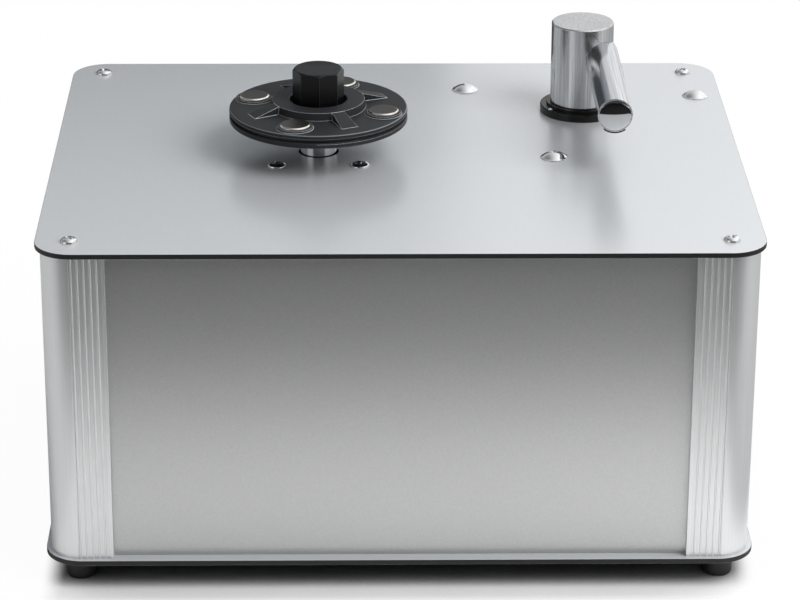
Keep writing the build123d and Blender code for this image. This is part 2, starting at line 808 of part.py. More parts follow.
def clamp_ramps():
    """Four ramps from the hub ring down to the disc."""
    inner = clamp_hub_outer - 2 * clamp_ramp_root
    low = clamp_top - lap
    high = clamp_hub_top - clamp_ramp_drop
    plan = Polyline(
        (inner, -clamp_ramp_inner_width / 2),
        (clamp_ramp_reach, -clamp_ramp_outer_width / 2),
        (clamp_ramp_reach, clamp_ramp_outer_width / 2),
        (inner, clamp_ramp_inner_width / 2),
        (inner, -clamp_ramp_inner_width / 2),
    )
    side = Polyline(
        (inner, low),
        (inner, high),
        (clamp_hub_outer + clamp_ramp_shelf, high),
        (clamp_ramp_reach, clamp_top),
        (clamp_ramp_reach, low),
        (inner, low),
    )
    column = Pos(0, 0, low) * extrude(make_face(plan), high - low)
    ramp = column & extrude(Plane.XZ * make_face(side), clamp_ramp_outer_width, both=True)
    step = 360 / clamp_ramp_count
    return [Rot(0, 0, clamp_ramp_angle + i * step) * ramp for i in range(clamp_ramp_count)]


def pad_places():
    return around(pad_circle_radius, clamp_ramp_count, pad_angle)


def clamp_disc():
    """Moulded clamp: hub ring, ramps and four pad seats."""
    body = turned(clamp_outline())
    body += clamp_ramps()
    seat = disc(pad_seat_radius, clamp_top - lap, clamp_top + pad_seat_height)
    seat = chamfer(seat.edges().sort_by(Axis.Z)[-1], pad_seat_break)
    body += [Pos(x, y, 0) * seat for x, y in pad_places()]
    pocket_top = clamp_top + pad_seat_height + over
    pocket = disc(pad_radius + fit_gap, clamp_top + pad_seat_floor, pocket_top)
    body -= [Pos(x, y, 0) * pocket for x, y in pad_places()]
    return Pos(spindle_x, spindle_y, 0) * body


def clamp_pads():
    low = clamp_top + pad_seat_floor
    pad = disc(pad_radius, low, low + pad_thickness)
    pad = fillet(pad.edges().sort_by(Axis.Z)[-1], pad_edge_radius)
    return group(Pos(spindle_x + x, spindle_y + y, 0) * pad for x, y in pad_places())


def clamp_seal():
    half = seal_width / 2
    low = clamp_bottom - fit_gap
    body = ring(seal_radius + half, seal_radius - half, low, clamp_bottom + seal_depth)
    return Pos(spindle_x, spindle_y, 0) * body


def knob_washer():
    bore = record_pin_radius + 2 * fit_gap
    body = ring(washer_radius, bore, washer_bottom, washer_bottom + washer_thickness)
    return Pos(spindle_x, spindle_y, 0) * body


def clamp_knob():
    """Octagonal knob: flat sides, a conical crown that arches each side's top edge, blind thread."""
    sides = RegularPolygon(knob_radius, knob_side_count, rotation=knob_turn)
    prism = Pos(0, 0, knob_bottom) * extrude(sides, knob_height)
    crown = turned(Polyline(
        (0, knob_bottom),
        (knob_radius - knob_foot_break, knob_bottom),
        (knob_radius, knob_bottom + knob_foot_break),
        (knob_radius, knob_top - knob_crown),
        (knob_crown_radius, knob_top - knob_crown_drop),
        (knob_crown_radius / 2, knob_top),
        (0, knob_top),
        (0, knob_bottom),
    ))
    body = prism & crown
    plain_top = max(pin_shoulder + seat_gap, knob_bottom + over)
    body -= disc(record_pin_radius + 2 * fit_gap, knob_bottom - over, plain_top)
    body -= disc(thread_radius + fit_gap, knob_bottom - over, knob_top - knob_wall + 2 * seat_gap)
    return Pos(spindle_x, spindle_y, 0) * body


# ---------------------------------------------------------------- suction arm
def arm_flange():
    """Black ring on the deck with a collar, and a neck through the deck for the arm's bush."""
    body = disc(flange_radius, deck_top, flange_top)
    body = fillet(body.edges().sort_by(Axis.Z)[-1], flange_edge_radius)
    body += disc(flange_collar_radius, flange_top - lap, collar_top)
    body += disc(flange_neck_radius, deck_top - flange_neck_length, flange_top)
    body -= disc(bush_outer + fit_gap, deck_top - flange_neck_length - over, collar_top + over)
    places = around(flange_screw_circle, flange_screw_count, flange_screw_angle)
    body -= screw_holes(places, flange_screw_radius + fit_gap, deck_top - over, flange_top + over)
    return Pos(arm_x, arm_y, 0) * body


def flange_screws():
    outline = dome_outline(flange_screw_head_radius, flange_screw_head_rim, flange_screw_head_height)
    shank = disc(flange_screw_radius, deck_bottom - over, flange_top + flange_screw_head_rim)
    screw = Pos(0, 0, flange_top) * turned(outline) + shank
    places = around(flange_screw_circle, flange_screw_count, flange_screw_angle)
    return group(Pos(arm_x + x, arm_y + y, 0) * screw for x, y in places)


def arm_bush():
    """Plastic bush: turns in the flange, and the riser slides in it."""
    body = disc(bush_outer, deck_top - flange_neck_length, bush_top)
    body += disc(bush_outer + arm_bush_flange, collar_top + fit_gap, bush_top)
    body -= disc(bush_inner, deck_top - flange_neck_length - over, bush_top + over)
    return Pos(arm_x, arm_y, 0) * body


def arm_riser():
    body = ring(riser_radius, riser_radius - riser_wall, riser_bottom, riser_top)
    return Pos(arm_x, arm_y, 0) * body


def arm_outside(gap):
    """Outside of the arm along Z, with its closed end rounded."""
    body = disc(arm_radius + gap, -gap, arm_reach)
    return fillet(body.edges().sort_by(Axis.Z)[0], arm_root_round)


def arm_chamber():
    """Air chamber in the post, over the riser."""
    body = disc(riser_radius - riser_wall, riser_top - over, post_top_z - post_chamber_top)
    return Pos(arm_x, arm_y, 0) * body


def arm_post():
    """Turned post: skirt over the bush, riser socket, air chamber, and a bore for the arm."""
    body = disc(post_radius, post_bottom, post_top_z)
    body = chamfer(body.edges().sort_by(Axis.Z)[-1], post_edge_break)
    body -= disc(bush_skirt, post_bottom - over, bush_top + seat_gap)
    body -= disc(riser_radius, post_bottom - over, riser_top)
    body = Pos(arm_x, arm_y, 0) * body - arm_chamber()
    return body - Pos(arm_axis_x, arm_y, arm_z) * Rot(90, 0, 0) * arm_outside(fit_gap)


def arm_tube():
    """Suction tube along -Y: open to the post's chamber, slotted underneath, recessed for its cap."""
    body = fillet(arm_outside(0).edges().sort_by(Axis.Z)[-1], arm_edge_radius)
    body -= disc(arm_radius - arm_wall, arm_wall, arm_reach + over)
    body -= disc(arm_cap_radius + fit_gap, arm_reach - arm_cap_thickness, arm_reach + over)
    body = Pos(arm_axis_x, arm_y, arm_z) * Rot(90, 0, 0) * body
    return body - arm_chamber() - slot_cut()


def slot_cut():
    front = arm_end_y + 2 * arm_cap_thickness
    half = arm_slot_width / 2
    low = (arm_axis_x - half, front, arm_z - arm_radius - strip_thickness - over)
    high = (arm_axis_x + half, front + arm_slot_length, arm_z - arm_radius / 2)
    return block(low, high)


def arm_end_cap():
    """Cap pressed into the arm's end, its face a shallow dome."""
    ball_radius = (arm_cap_radius ** 2 + arm_cap_crown ** 2) / (2 * arm_cap_crown)
    ball = Pos(0, 0, arm_reach + arm_cap_crown - ball_radius) * Sphere(ball_radius)
    face = disc(arm_cap_radius, arm_reach - arm_cap_thickness + fit_gap, arm_reach + over) & ball
    spigot_start = arm_reach - 2 * arm_cap_thickness
    spigot = disc(arm_radius - arm_wall - fit_gap, spigot_start, arm_reach - lap)
    return Pos(arm_axis_x, arm_y, arm_z) * Rot(90, 0, 0) * (face + spigot)


def arm_strips():
    """Black pile bent round the underside of the tube, one piece about the slot."""
    front = arm_end_y + strip_inset
    length = arm_slot_length + 2 * (2 * arm_cap_thickness - strip_inset)
    inner = arm_radius + fit_gap
    sector_reach = 2 * arm_radius
    band = Circle(inner + strip_thickness) - Circle(inner)
    right = polar(sector_reach, strip_angle - 90)
    left = polar(sector_reach, -strip_angle - 90)
    pile = extrude(Plane.XZ * (band & make_face(Polyline((0, 0), right, left, (0, 0)))), -length)
    return Pos(arm_axis_x, front, arm_z) * pile - slot_cut()


def polar(radius, angle):
    turn = math.radians(angle)
    return (radius * math.cos(turn), radius * math.sin(turn))


# ---------------------------------------------------------------- waste tank
def tank_ears(low, high, body_radius):
    """Three ears that reach out to the bolts."""
    reach = tank_bolt_circle - body_radius / 2
    arm = Box(reach, 2 * tank_ear_radius, high - low, align=(Align.MAX, Align.CENTER, Align.MIN))
    ear = Pos(0, 0, low) * arm + disc(tank_ear_radius, low, high)
    ear -= disc(tank_bolt_radius + fit_gap, low - over, high + over)
    return [Rot(0, 0, angle) * Pos(tank_bolt_circle, 0, 0) * ear for angle in tank_bolt_angles]


def tank_lid():
    """Lid on the vessel's rim: inlet for the riser, seat for its seal, and a dip pipe inside."""
    rim_radius = tank_radius + tank_flange_width
    body = disc(rim_radius, lid_bottom, lid_top)
    body += tank_ears(lid_bottom, lid_top, tank_radius)
    pipe_inner = riser_radius + seal_lip + seat_gap
    pipe = Pos(arm_x - tank_x, arm_y - tank_y, 0)
    pipe_bottom = lid_bottom - lid_pipe_length
    body += pipe * disc(pipe_inner + lid_pipe_wall, pipe_bottom, lid_bottom + lap)
    body -= pipe * disc(pipe_inner, pipe_bottom - over, lid_top + over)
    return Pos(tank_x, tank_y, 0) * body


def riser_seal():
    """Lip ring between the riser and the lid's pipe."""
    inner = riser_radius + fit_gap
    outer = riser_radius + seal_lip + seat_gap
    body = ring(outer, inner, lid_bottom - seal_skirt, lid_top)
    body += ring(outer + lid_pipe_wall, inner, lid_top, lid_top + seal_flange)
    return Pos(arm_x, arm_y, 0) * body


def tank_vessel():
    """Round vessel with ears under the lid's, a suction port high up and a drain nipple low down."""
    top = lid_bottom
    body = disc(tank_radius, tank_bottom, top)
    body = fillet(body.edges().sort_by(Axis.Z)[0], tank_foot_radius)
    body += disc(tank_radius + tank_flange_width, top - tank_flange_height, top)
    body += tank_ears(top - tank_ear_thickness, top, tank_radius)
    port = Pos(0, 0, suction_z) * Rot(0, -90, 0)
    body += port * disc(spigot_radius, tank_radius / 2, tank_radius + port_reach)
    nipple = Pos(0, 0, drain_z) * Rot(-90, 0, 0)
    body += nipple * disc(drain_bore + drain_wall, tank_radius / 2, tank_radius + drain_nipple)
    inside = disc(tank_radius - tank_wall, tank_bottom + tank_wall, top + over)
    body -= fillet(inside.edges().sort_by(Axis.Z)[0], tank_foot_radius - tank_wall)
    body -= port * disc(spigot_radius - tank_wall, tank_radius / 2, tank_radius + port_reach + over)
    body -= nipple * disc(drain_bore, tank_radius / 2, tank_radius + drain_nipple + over)
    return Pos(tank_x, tank_y, 0) * body


def tank_bolts():
    """Domed bolts through the deck, grommets and ears."""
    outline = dome_outline(tank_dome_radius, tank_dome_rim, tank_dome_height)
    tip = lid_bottom - tank_ear_thickness - nut_height - bolt_end
    bolt = Pos(0, 0, deck_top) * turned(outline) + disc(tank_bolt_radius, tip, deck_top + lap)
    return group(Pos(tank_x + x, tank_y + y, 0) * bolt for x, y in at_tank_bolts())


def tank_grommets():
    body = ring(tank_bolt_radius + grommet_wall, tank_bolt_radius + fit_gap, lid_top, deck_bottom)
    return group(Pos(tank_x + x, tank_y + y, 0) * body for x, y in at_tank_bolts())


def tank_nuts():
    high = lid_bottom - tank_ear_thickness
    hexagon = RegularPolygon(nut_width / 2, nut_sides, major_radius=False)
    nut = Pos(0, 0, high - nut_height) * extrude(hexagon, nut_height)
    nut -= disc(tank_bolt_radius + fit_gap, high - nut_height - over, high + over)
    return group(Pos(tank_x + x, tank_y + y, 0) * nut for x, y in at_tank_bolts())


def suction_hose():
    """Hose from the tank's port over to the blower's spigot, one bend."""
    start = (tank_x - tank_radius - seat_gap, blower_y, suction_z)
    corner = (blower_x, blower_y, suction_z)
    end = (blower_x, blower_y, pan_top + seat_gap)
    path = FilletPolyline(start, corner, end, radius=hose_bend)
    mouth = Plane(origin=start, z_dir=(-1, 0, 0))
    section = mouth * (Circle(hose_outer_radius) - Circle(hose_inner_radius))
    return sweep(section, path=path)


def hose_clips():
    inner = hose_outer_radius + fit_gap
    body = ring(inner + hose_clip_thickness, inner, 0, hose_clip_width)
    low = Pos(blower_x, blower_y, pan_top + hose_clip_rise) * body
    side_x = tank_x - tank_radius - hose_clip_inset
    side = Pos(side_x, blower_y, suction_z) * Rot(0, -90, 0) * body
    return group([low, side])


# ---------------------------------------------------------------- blower
def blower_housing():
    """Round pan with a tangential outlet horn towards the rear panel's vents."""
    horn_z = (pan_bottom + pan_top) / 2
    horn = Pos(blower_horn_offset, 0, horn_z) * Rot(-90, 0, 0)
    horn_length = rear_inner_y - seat_gap - blower_y
    body = disc(blower_radius, pan_bottom, pan_top - blower_sheet)
    body += horn * disc(blower_horn_radius, 0, horn_length)
    body -= disc(blower_radius - blower_sheet, pan_bottom + blower_sheet, pan_top)
    body -= horn * disc(blower_horn_radius - blower_sheet, 0, horn_length + over)
    body -= disc(shaft_radius + seat_gap, pan_bottom - over, pan_top)
    return Pos(blower_x, blower_y, 0) * body


def blower_cover():
    body = disc(blower_radius, pan_top - blower_sheet, pan_top)
    body = fillet(body.edges().sort_by(Axis.Z)[-1], blower_edge_radius)
    high = pan_top + blower_spigot_height
    body += disc(spigot_radius, pan_top - lap, high)
    body -= disc(spigot_radius - blower_sheet, pan_top - blower_sheet - over, high + over)
    return Pos(blower_x, blower_y, 0) * body


def blower_impeller():
    """Closed fan wheel: back plate, front ring and curved blades on a hub."""
    low = impeller_low
    high = low + impeller_height
    body = disc(impeller_radius, low, low + impeller_plate)
    body += ring(impeller_radius, impeller_eye, high - impeller_plate, high)
    body += disc(impeller_hub_radius, low, high - impeller_plate)
    bend = impeller_blade_radius
    sheet = impeller_plate
    arc = Pos(0, bend) * (Circle(bend) - Circle(bend - sheet))
    window = rect((impeller_hub_radius - lap, -2 * sheet), (impeller_radius, impeller_radius))
    blade = extrude(arc & window & Circle(impeller_radius - lap), impeller_height - sheet)
    blade = Pos(0, 0, low + sheet / 2) * blade
    step = 360 / impeller_blade_count
    body += [Rot(0, 0, i * step) * blade for i in range(impeller_blade_count)]
    body -= disc(shaft_radius + fit_gap, low - over, high + over)
    return Pos(blower_x, blower_y, 0) * body


def blower_shaft():
    high = impeller_low + impeller_height - impeller_plate
    return Pos(blower_x, blower_y, 0) * disc(shaft_radius, blower_shaft_low, high)


def blower_motor():
    """Motor can under the pan, stepped end bell below."""
    low = pan_bottom - blower_motor_height
    step = blower_motor_height / 4
    body = disc(blower_motor_radius, low + step, pan_bottom)
    body += disc(blower_motor_radius * blower_bell, low, low + step + lap)
    body = fillet(body.edges().sort_by(Axis.Z)[0], can_edge_radius)
    body -= disc(shaft_radius + fit_gap, blower_shaft_low - seat_gap, pan_bottom + over)
    return Pos(blower_x, blower_y, 0) * body


def blower_pillars():
    body = disc(pillar_radius, base_top, pan_bottom)
    body -= disc(screw_radius + fit_gap, base_top - over, base_top + pillar_screw_depth + over)
    return group(Pos(x, y, 0) * body for x, y in pillar_places())


# ---------------------------------------------------------------- drain
def rear_axis(x, z):
    """Place of an axis that runs to the back, its Z = 0 on the rear panel's outer face."""
    return Pos(x, rear_outer_y, z) * Rot(-90, 0, 0)


def drain_outlet():
    """Bulkhead tube through the rear panel: thin flange outside, nut inside, spigot for a drain hose."""
    outer = drain_bore + drain_wall
    body = disc(outer, -panel_thickness - drain_tail, drain_flange + drain_spigot)
    body += disc(drain_flange_radius, 0, drain_flange)
    hexagon = RegularPolygon(drain_flange_radius, nut_sides)
    body += Pos(0, 0, -panel_thickness - drain_nut) * extrude(hexagon, drain_nut)
    inner_end = -panel_thickness - drain_tail - over
    body -= disc(drain_bore, inner_end, drain_flange + drain_spigot + over)
    return rear_axis(tank_x, drain_z) * body


def drain_hose():
    start = tank_y + tank_radius + seat_gap
    end = rear_inner_y - drain_nut - seat_gap
    inner = drain_bore + drain_wall + fit_gap
    body = ring(inner + drain_hose_wall, inner, 0, end - start)
    return Pos(tank_x, start, drain_z) * Rot(-90, 0, 0) * body


def drain_plug():
    """Rubber stopper in the spigot."""
    mouth = drain_flange + drain_spigot
    body = disc(drain_bore + drain_wall - plug_cap_inset, mouth, mouth + plug_cap)
    shank = disc(drain_bore - fit_gap, mouth - plug_shank, mouth + lap)
    shank = chamfer(shank.edges().sort_by(Axis.Z)[0], plug_lead)
    return rear_axis(tank_x, drain_z) * (body + shank)


# ---------------------------------------------------------------- mains inlet and switches
def inlet_place():
    """Place on the rear panel's outer face: local X to the left, local Y up, local Z outwards."""
    return Plane((inlet_x, rear_outer_y, inlet_z), x_dir=(-1, 0, 0), z_dir=(0, 1, 0)).location


def socket_outline():
    """Socket mouth: a rectangle with its two upper corners cut off."""
    w = inlet_socket_width / 2
    h = inlet_socket_height / 2
    low = h - inlet_socket_corner
    side = w - inlet_socket_corner
    return make_face(Polyline((-w, -h), (w, -h), (w, low), (side, h), (-side, h), (-w, low), (-w, -h)))


def mains_inlet():
    """Appliance inlet with three blades and a slot for the fuse drawer."""
    face = RectangleRounded(inlet_flange_width, inlet_flange_height, inlet_corner_radius)
    body = extrude(face, inlet_flange)
    box = extrude(Rectangle(inlet_body_width, inlet_body_height), inlet_body_depth + lap)
    body += Pos(0, 0, -inlet_body_depth) * box
    socket = extrude(socket_outline(), inlet_socket_depth + inlet_flange + over)
    body -= Pos(0, inlet_socket_rise, -inlet_socket_depth) * socket
    blade = extrude(Rectangle(inlet_pin_width, inlet_pin_height), inlet_socket_depth)
    blade = Pos(0, inlet_socket_rise - inlet_pin_gap / 2, -inlet_socket_depth - over) * blade
    for x, y in ((-inlet_pin_spread, 0), (inlet_pin_spread, 0), (0, inlet_pin_gap)):
        body += Pos(x, y, 0) * blade
    pocket = Rectangle(drawer_width + 2 * fit_gap, drawer_height + 2 * fit_gap)
    pocket = extrude(pocket, drawer_depth + inlet_flange + over)
    body -= Pos(0, -drawer_drop, -drawer_depth) * pocket
    return inlet_place() * body


def fuse_drawer():
    """Drawer under the socket, with a finger ledge on its face."""
    depth = drawer_depth - seat_gap
    body = Pos(0, 0, -depth) * extrude(Rectangle(drawer_width, drawer_height), depth + inlet_flange)
    ledge = extrude(Rectangle(drawer_width / 2, drawer_ledge_height), drawer_ledge)
    body += Pos(0, 0, inlet_flange) * ledge
    half_w = drawer_width / 2 - drawer_wall
    floor = drawer_wall - drawer_height / 2
    well = extrude(rect((-half_w, floor), (half_w, drawer_height)), depth - 2 * drawer_wall)
    body -= Pos(0, 0, drawer_wall - depth) * well
    return inlet_place() * Pos(0, -drawer_drop, 0) * body


def switch_place(y):
    """Place on the right panel's outer face: local X to the back, local Y up, local Z outwards."""
    return Plane((side_outer_x, y, switch_z), x_dir=(0, 1, 0), z_dir=(1, 0, 0)).location


def switch_housing():
    """Bezel and body with an open well, and the rocker's pivot pin across it."""
    wall = switch_wall
    body_w = switch_flange_width - 2 * wall - 2 * fit_gap
    body_h = switch_flange_height - 2 * wall - 2 * fit_gap
    face = RectangleRounded(switch_flange_width, switch_flange_height, switch_corner_radius)
    body = extrude(face, switch_flange)
    box = extrude(Rectangle(body_w, body_h), switch_body_depth + lap)
    body += Pos(0, 0, -switch_body_depth) * box
    well = Rectangle(rocker_width + 2 * seat_gap, rocker_length + 2 * seat_gap)
    well = extrude(well, switch_well_depth + switch_flange + over)
    body -= Pos(0, 0, -switch_well_depth) * well
    pin = Cylinder(rocker_pivot_radius, rocker_width + 4 * seat_gap)
    return body + Pos(0, 0, switch_flange - rocker_pivot_depth) * Rot(0, 90, 0) * pin


def switch_housings():
    return group(switch_place(y) * switch_housing() for y in switch_places)


def rocker():
    """Rocker about a pivot at the origin: shallow V top, rounded underside."""
    half = rocker_length / 2 - over
    dip = half * math.tan(math.radians(rocker_tilt)) / 2
    high = rocker_pivot_depth + rocker_proud + dip / 3
    foot = -rocker_pivot_depth - rocker_skirt
    side = Polyline(
        (-half, high),
        (0, high - dip),
        (half, high),
        (half, -rocker_skirt),
        (half / 3, foot),
        (-half / 3, foot),
        (-half, -rocker_skirt),
        (-half, high),
    )
    body = extrude(SIDE * make_face(side), rocker_width / 2, both=True)
    return body - Rot(0, 90, 0) * Cylinder(rocker_pivot_radius + fit_gap, 2 * rocker_width)


def placed_rocker(y, tilt):
    pivot = Pos(0, 0, switch_flange - rocker_pivot_depth) * Rot(tilt, 0, 0)
    return switch_place(y) * pivot * rocker()


def direction_rocker():
    """Three-way rocker, stored in its middle position."""
    return placed_rocker(switch_places[0], 0)


def suction_rocker():
    """Two-way rocker, stored in its off position."""
    return placed_rocker(switch_places[1], rocker_tilt)


# ---------------------------------------------------------------- electrics
def run_capacitor():
    """Phase capacitor of the reversing gear motor, upright, with a crimped top."""
    high = base_top + capacitor_length
    can = disc(capacitor_radius, base_top, high)
    can = fillet(can.edges().sort_by(Axis.Z)[-1], capacitor_edge_radius)
    crimp_top = high - crimp_drop
    crimp_floor = capacitor_radius - capacitor_crimp_depth
    can -= ring(capacitor_radius + over, crimp_floor, crimp_top - capacitor_crimp_width, crimp_top)
    return Pos(capacitor_x, capacitor_y, 0) * can


def terminal_block():
    """Stepped strip with a barrier between every two poles."""
    low = (-terminal_width / 2, -terminal_depth / 2, base_top)
    high = (terminal_width / 2, terminal_depth / 2, base_top + terminal_step)
    body = block(low, high)
    pitch = terminal_width / terminal_pole_count
    for i in range(terminal_pole_count + 1):
        x = low[0] + i * pitch
        left = max(x - terminal_rib / 2, low[0])
        right = min(x + terminal_rib / 2, high[0])
        body += block((left, low[1], base_top), (right, high[1], base_top + terminal_height))
    return Pos(terminal_x, terminal_y, 0) * body


def cable(*points):
    """Round cable along straight runs joined by tangent arcs."""
    path = FilletPolyline(*points, radius=cable_bend)
    start = Plane(origin=points[0], z_dir=path % 0)
    return sweep(start * Circle(cable_radius), path=path)


def wiring():
    """Cables from the terminal strip to the inlet, both switches, both motors and the capacitor."""
    floor_z = base_top + cable_lift
    back = terminal_y + terminal_depth / 2
    left = terminal_x - terminal_width / 2
    right = terminal_x + terminal_width / 2
    switch_back = side_outer_x - switch_body_depth
    run = cable_run * cable_bend
    loop = cable_loop * cable_bend
    riser_x = switch_back - loop
    inlet_back = rear_outer_y - inlet_body_depth
    inlet_drop = inlet_back - run
    gland_y = spindle_y - gear_motor_radius + over - gland_length
    gland_drop = (gland_y + back) / 2
    motor_z = pan_bottom - blower_motor_height / 2
    motor_y = blower_y - blower_motor_radius
    motor_rise = motor_y - run
    motor_lane = terminal_y - cable_lane
    capacitor_top = base_top + capacitor_length
    loop_z = capacitor_top + loop
    loop_x = left - loop
    first, second = switch_places
    lane = right - cable_edge
    inlet_cable = cable(
        (inlet_x, inlet_back, inlet_z),
        (inlet_x, inlet_drop, inlet_z),
        (inlet_x, inlet_drop, floor_z),
        (inlet_x, back, floor_z),
    )
    direction_cable = cable(
        (right, first, floor_z),
        (riser_x, first, floor_z),
        (riser_x, first, switch_z),
        (switch_back, first, switch_z),
    )
    suction_cable = cable(
        (lane, back, floor_z),
        (lane, second, floor_z),
        (riser_x, second, floor_z),
        (riser_x, second, switch_z),
        (switch_back, second, switch_z),
    )
    gear_cable = cable(
        (spindle_x, gland_y, gland_z),
        (spindle_x, gland_drop, gland_z),
        (spindle_x, gland_drop, floor_z),
        (spindle_x, back, floor_z),
    )
    blower_cable = cable(
        (left, motor_lane, floor_z),
        (blower_x, motor_lane, floor_z),
        (blower_x, motor_rise, floor_z),
        (blower_x, motor_rise, motor_z),
        (blower_x, motor_y, motor_z),
    )
    capacitor_cable = cable(
        (capacitor_x, capacitor_y, capacitor_top),
        (capacitor_x, capacitor_y, loop_z),
        (loop_x, capacitor_y, loop_z),
        (loop_x, capacitor_y, floor_z),
        (left, capacitor_y, floor_z),
    )
    to_controls = [inlet_cable, direction_cable, suction_cable]
    to_motors = [gear_cable, blower_cable, capacitor_cable]
    return group(to_controls + to_motors)


def main():
    os.makedirs("parts", exist_ok=True)
    nodes = {
        "deck_plate": deck_plate(),
        "base_plate": base_plate(),
        "front_panel": front_panel(),
        "rear_panel": rear_panel(),
        "left_panel": left_panel(),
        "right_panel": right_panel(),
        "deck_screws": deck_screws(),
        "feet": feet(),
        "base_screws": base_screws(),
        "gearbox": gearbox(),
        "gear_motor": gear_motor(),
        "gearbox_bush": gearbox_bush(),
        "output_shaft": output_shaft(),
        "spindle_hub": spindle_hub(),
        "platter": platter(),
        "platter_screws": platter_screws(),
        "platter_mat": platter_mat(),
        "record_spindle": record_spindle(),
        "clamp_disc": clamp_disc(),
        "clamp_pads": clamp_pads(),
        "clamp_seal": clamp_seal(),
        "knob_washer": knob_washer(),
        "clamp_knob": clamp_knob(),
        "arm_flange": arm_flange(),
        "flange_screws": flange_screws(),
        "arm_bush": arm_bush(),
        "arm_riser": arm_riser(),
        "arm_post": arm_post(),
        "arm_tube": arm_tube(),
        "arm_end_cap": arm_end_cap(),
        "arm_strips": arm_strips(),
        "tank_lid": tank_lid(),
        "riser_seal": riser_seal(),
        "tank_vessel": tank_vessel(),
        "tank_bolts": tank_bolts(),
        "tank_grommets": tank_grommets(),
        "tank_nuts": tank_nuts(),
        "suction_hose": suction_hose(),
        "hose_clips": hose_clips(),
        "blower_housing": blower_housing(),
        "blower_cover": blower_cover(),
        "blower_impeller": blower_impeller(),
        "blower_shaft": blower_shaft(),
        "blower_motor": blower_motor(),
        "blower_pillars": blower_pillars(),
        "drain_outlet": drain_outlet(),
        "drain_hose": drain_hose(),
        "drain_plug": drain_plug(),
        "mains_inlet": mains_inlet(),
        "fuse_drawer": fuse_drawer(),
        "switch_housings": switch_housings(),
        "direction_rocker": direction_rocker(),
        "suction_rocker": suction_rocker(),
        "run_capacitor": run_capacitor(),
        "terminal_block": terminal_block(),
        "wiring": wiring(),
    }
    nodes.update(corner_profiles())
    for name, shape in nodes.items():
        export_step(shape, f"parts/{name}.step")
        print(name, round(shape.volume, 1))


main()
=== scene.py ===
import math

import bmesh
import bpy
from mathutils import Matrix, Vector


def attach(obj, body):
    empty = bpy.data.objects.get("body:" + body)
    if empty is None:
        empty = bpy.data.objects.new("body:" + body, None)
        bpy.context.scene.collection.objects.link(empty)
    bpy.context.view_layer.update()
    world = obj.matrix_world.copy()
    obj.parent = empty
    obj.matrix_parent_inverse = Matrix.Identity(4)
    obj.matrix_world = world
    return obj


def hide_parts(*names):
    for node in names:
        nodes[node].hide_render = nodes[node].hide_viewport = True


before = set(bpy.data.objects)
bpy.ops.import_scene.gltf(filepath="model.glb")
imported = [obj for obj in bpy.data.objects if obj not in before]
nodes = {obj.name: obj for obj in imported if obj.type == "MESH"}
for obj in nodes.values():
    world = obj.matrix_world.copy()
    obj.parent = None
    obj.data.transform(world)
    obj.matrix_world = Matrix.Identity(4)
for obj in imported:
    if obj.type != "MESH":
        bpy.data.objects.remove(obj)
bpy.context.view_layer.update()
scene = bpy.context.scene
scene.view_settings.view_transform = "Standard"
print("frame loaded:", len(nodes), "nodes")

mm = 0.001
spindle = (-45.4, 0.5)    # x and y in mm

# a long lens in front of the machine and above it
camera = {
    "place": (-29.5, -1768.6, 848.1),    # mm
    "yaw": 1.02,                         # degrees, to the right
    "pitch": 22.74,                      # down
    "roll": 0.24,
    "lens": 146.475,                     # mm, on a sensor this wide
    "sensor": 36,
    "clipEnd": 50,                       # m
}


def makeCamera():
    yaw, pitch, roll = (math.radians(camera[key]) for key in ("yaw", "pitch", "roll"))
    forward = Vector((math.sin(yaw) * math.cos(pitch), math.cos(yaw) * math.cos(pitch),
                      -math.sin(pitch)))
    level = Vector((math.cos(yaw), -math.sin(yaw), 0))
    right = math.cos(roll) * level + math.sin(roll) * level.cross(forward)
    upward = right.cross(forward)
    turn = Matrix((right, upward, -forward)).transposed().to_4x4()
    bpy.ops.object.camera_add()
    eye = bpy.context.object
    eye.name = "productCamera"
    eye.matrix_world = Matrix.Translation(Vector(camera["place"]) * mm) @ turn
    eye.data.sensor_width = camera["sensor"]
    eye.data.lens = camera["lens"]
    eye.data.clip_end = camera["clipEnd"]
    scene.camera = eye


makeCamera()
print("camera set")


def fromHex(code):
    # sRGB hex to the linear colour that the shaders use
    parts = [int(code[i:i + 2], 16) / 255 for i in (0, 2, 4)]
    return (*(p / 12.92 if p <= 0.04045 else ((p + 0.055) / 1.055) ** 2.4 for p in parts), 1)


def addNode(tree, kind, settings=None, **inputs):
    # settings are the node's own fields, and a ramp's stops as (place, colour). Inputs are values
    # or sockets, by name with _ for a space, or by number after a _
    node = tree.nodes.new("ShaderNode" + kind)
    for field, value in (settings or {}).items():
        if field == "stops":
            bands = node.color_ramp.elements
            while len(bands) < len(value):
                bands.new(0.5)
            for band, (place, colour) in zip(bands, value):
                band.position = place
                band.color = colour
        else:
            setattr(node, field, value)
    for name, value in inputs.items():
        key = int(name[1:]) if name[1:].isdigit() else name.replace("_", " ")
        if isinstance(value, bpy.types.NodeSocket):
            tree.links.new(value, node.inputs[key])
        else:
            node.inputs[key].default_value = value
    return node


def newMaterial(name):
    material = bpy.data.materials.new(name)
    material.use_nodes = True
    tree = material.node_tree
    tree.nodes.clear()
    return material, tree


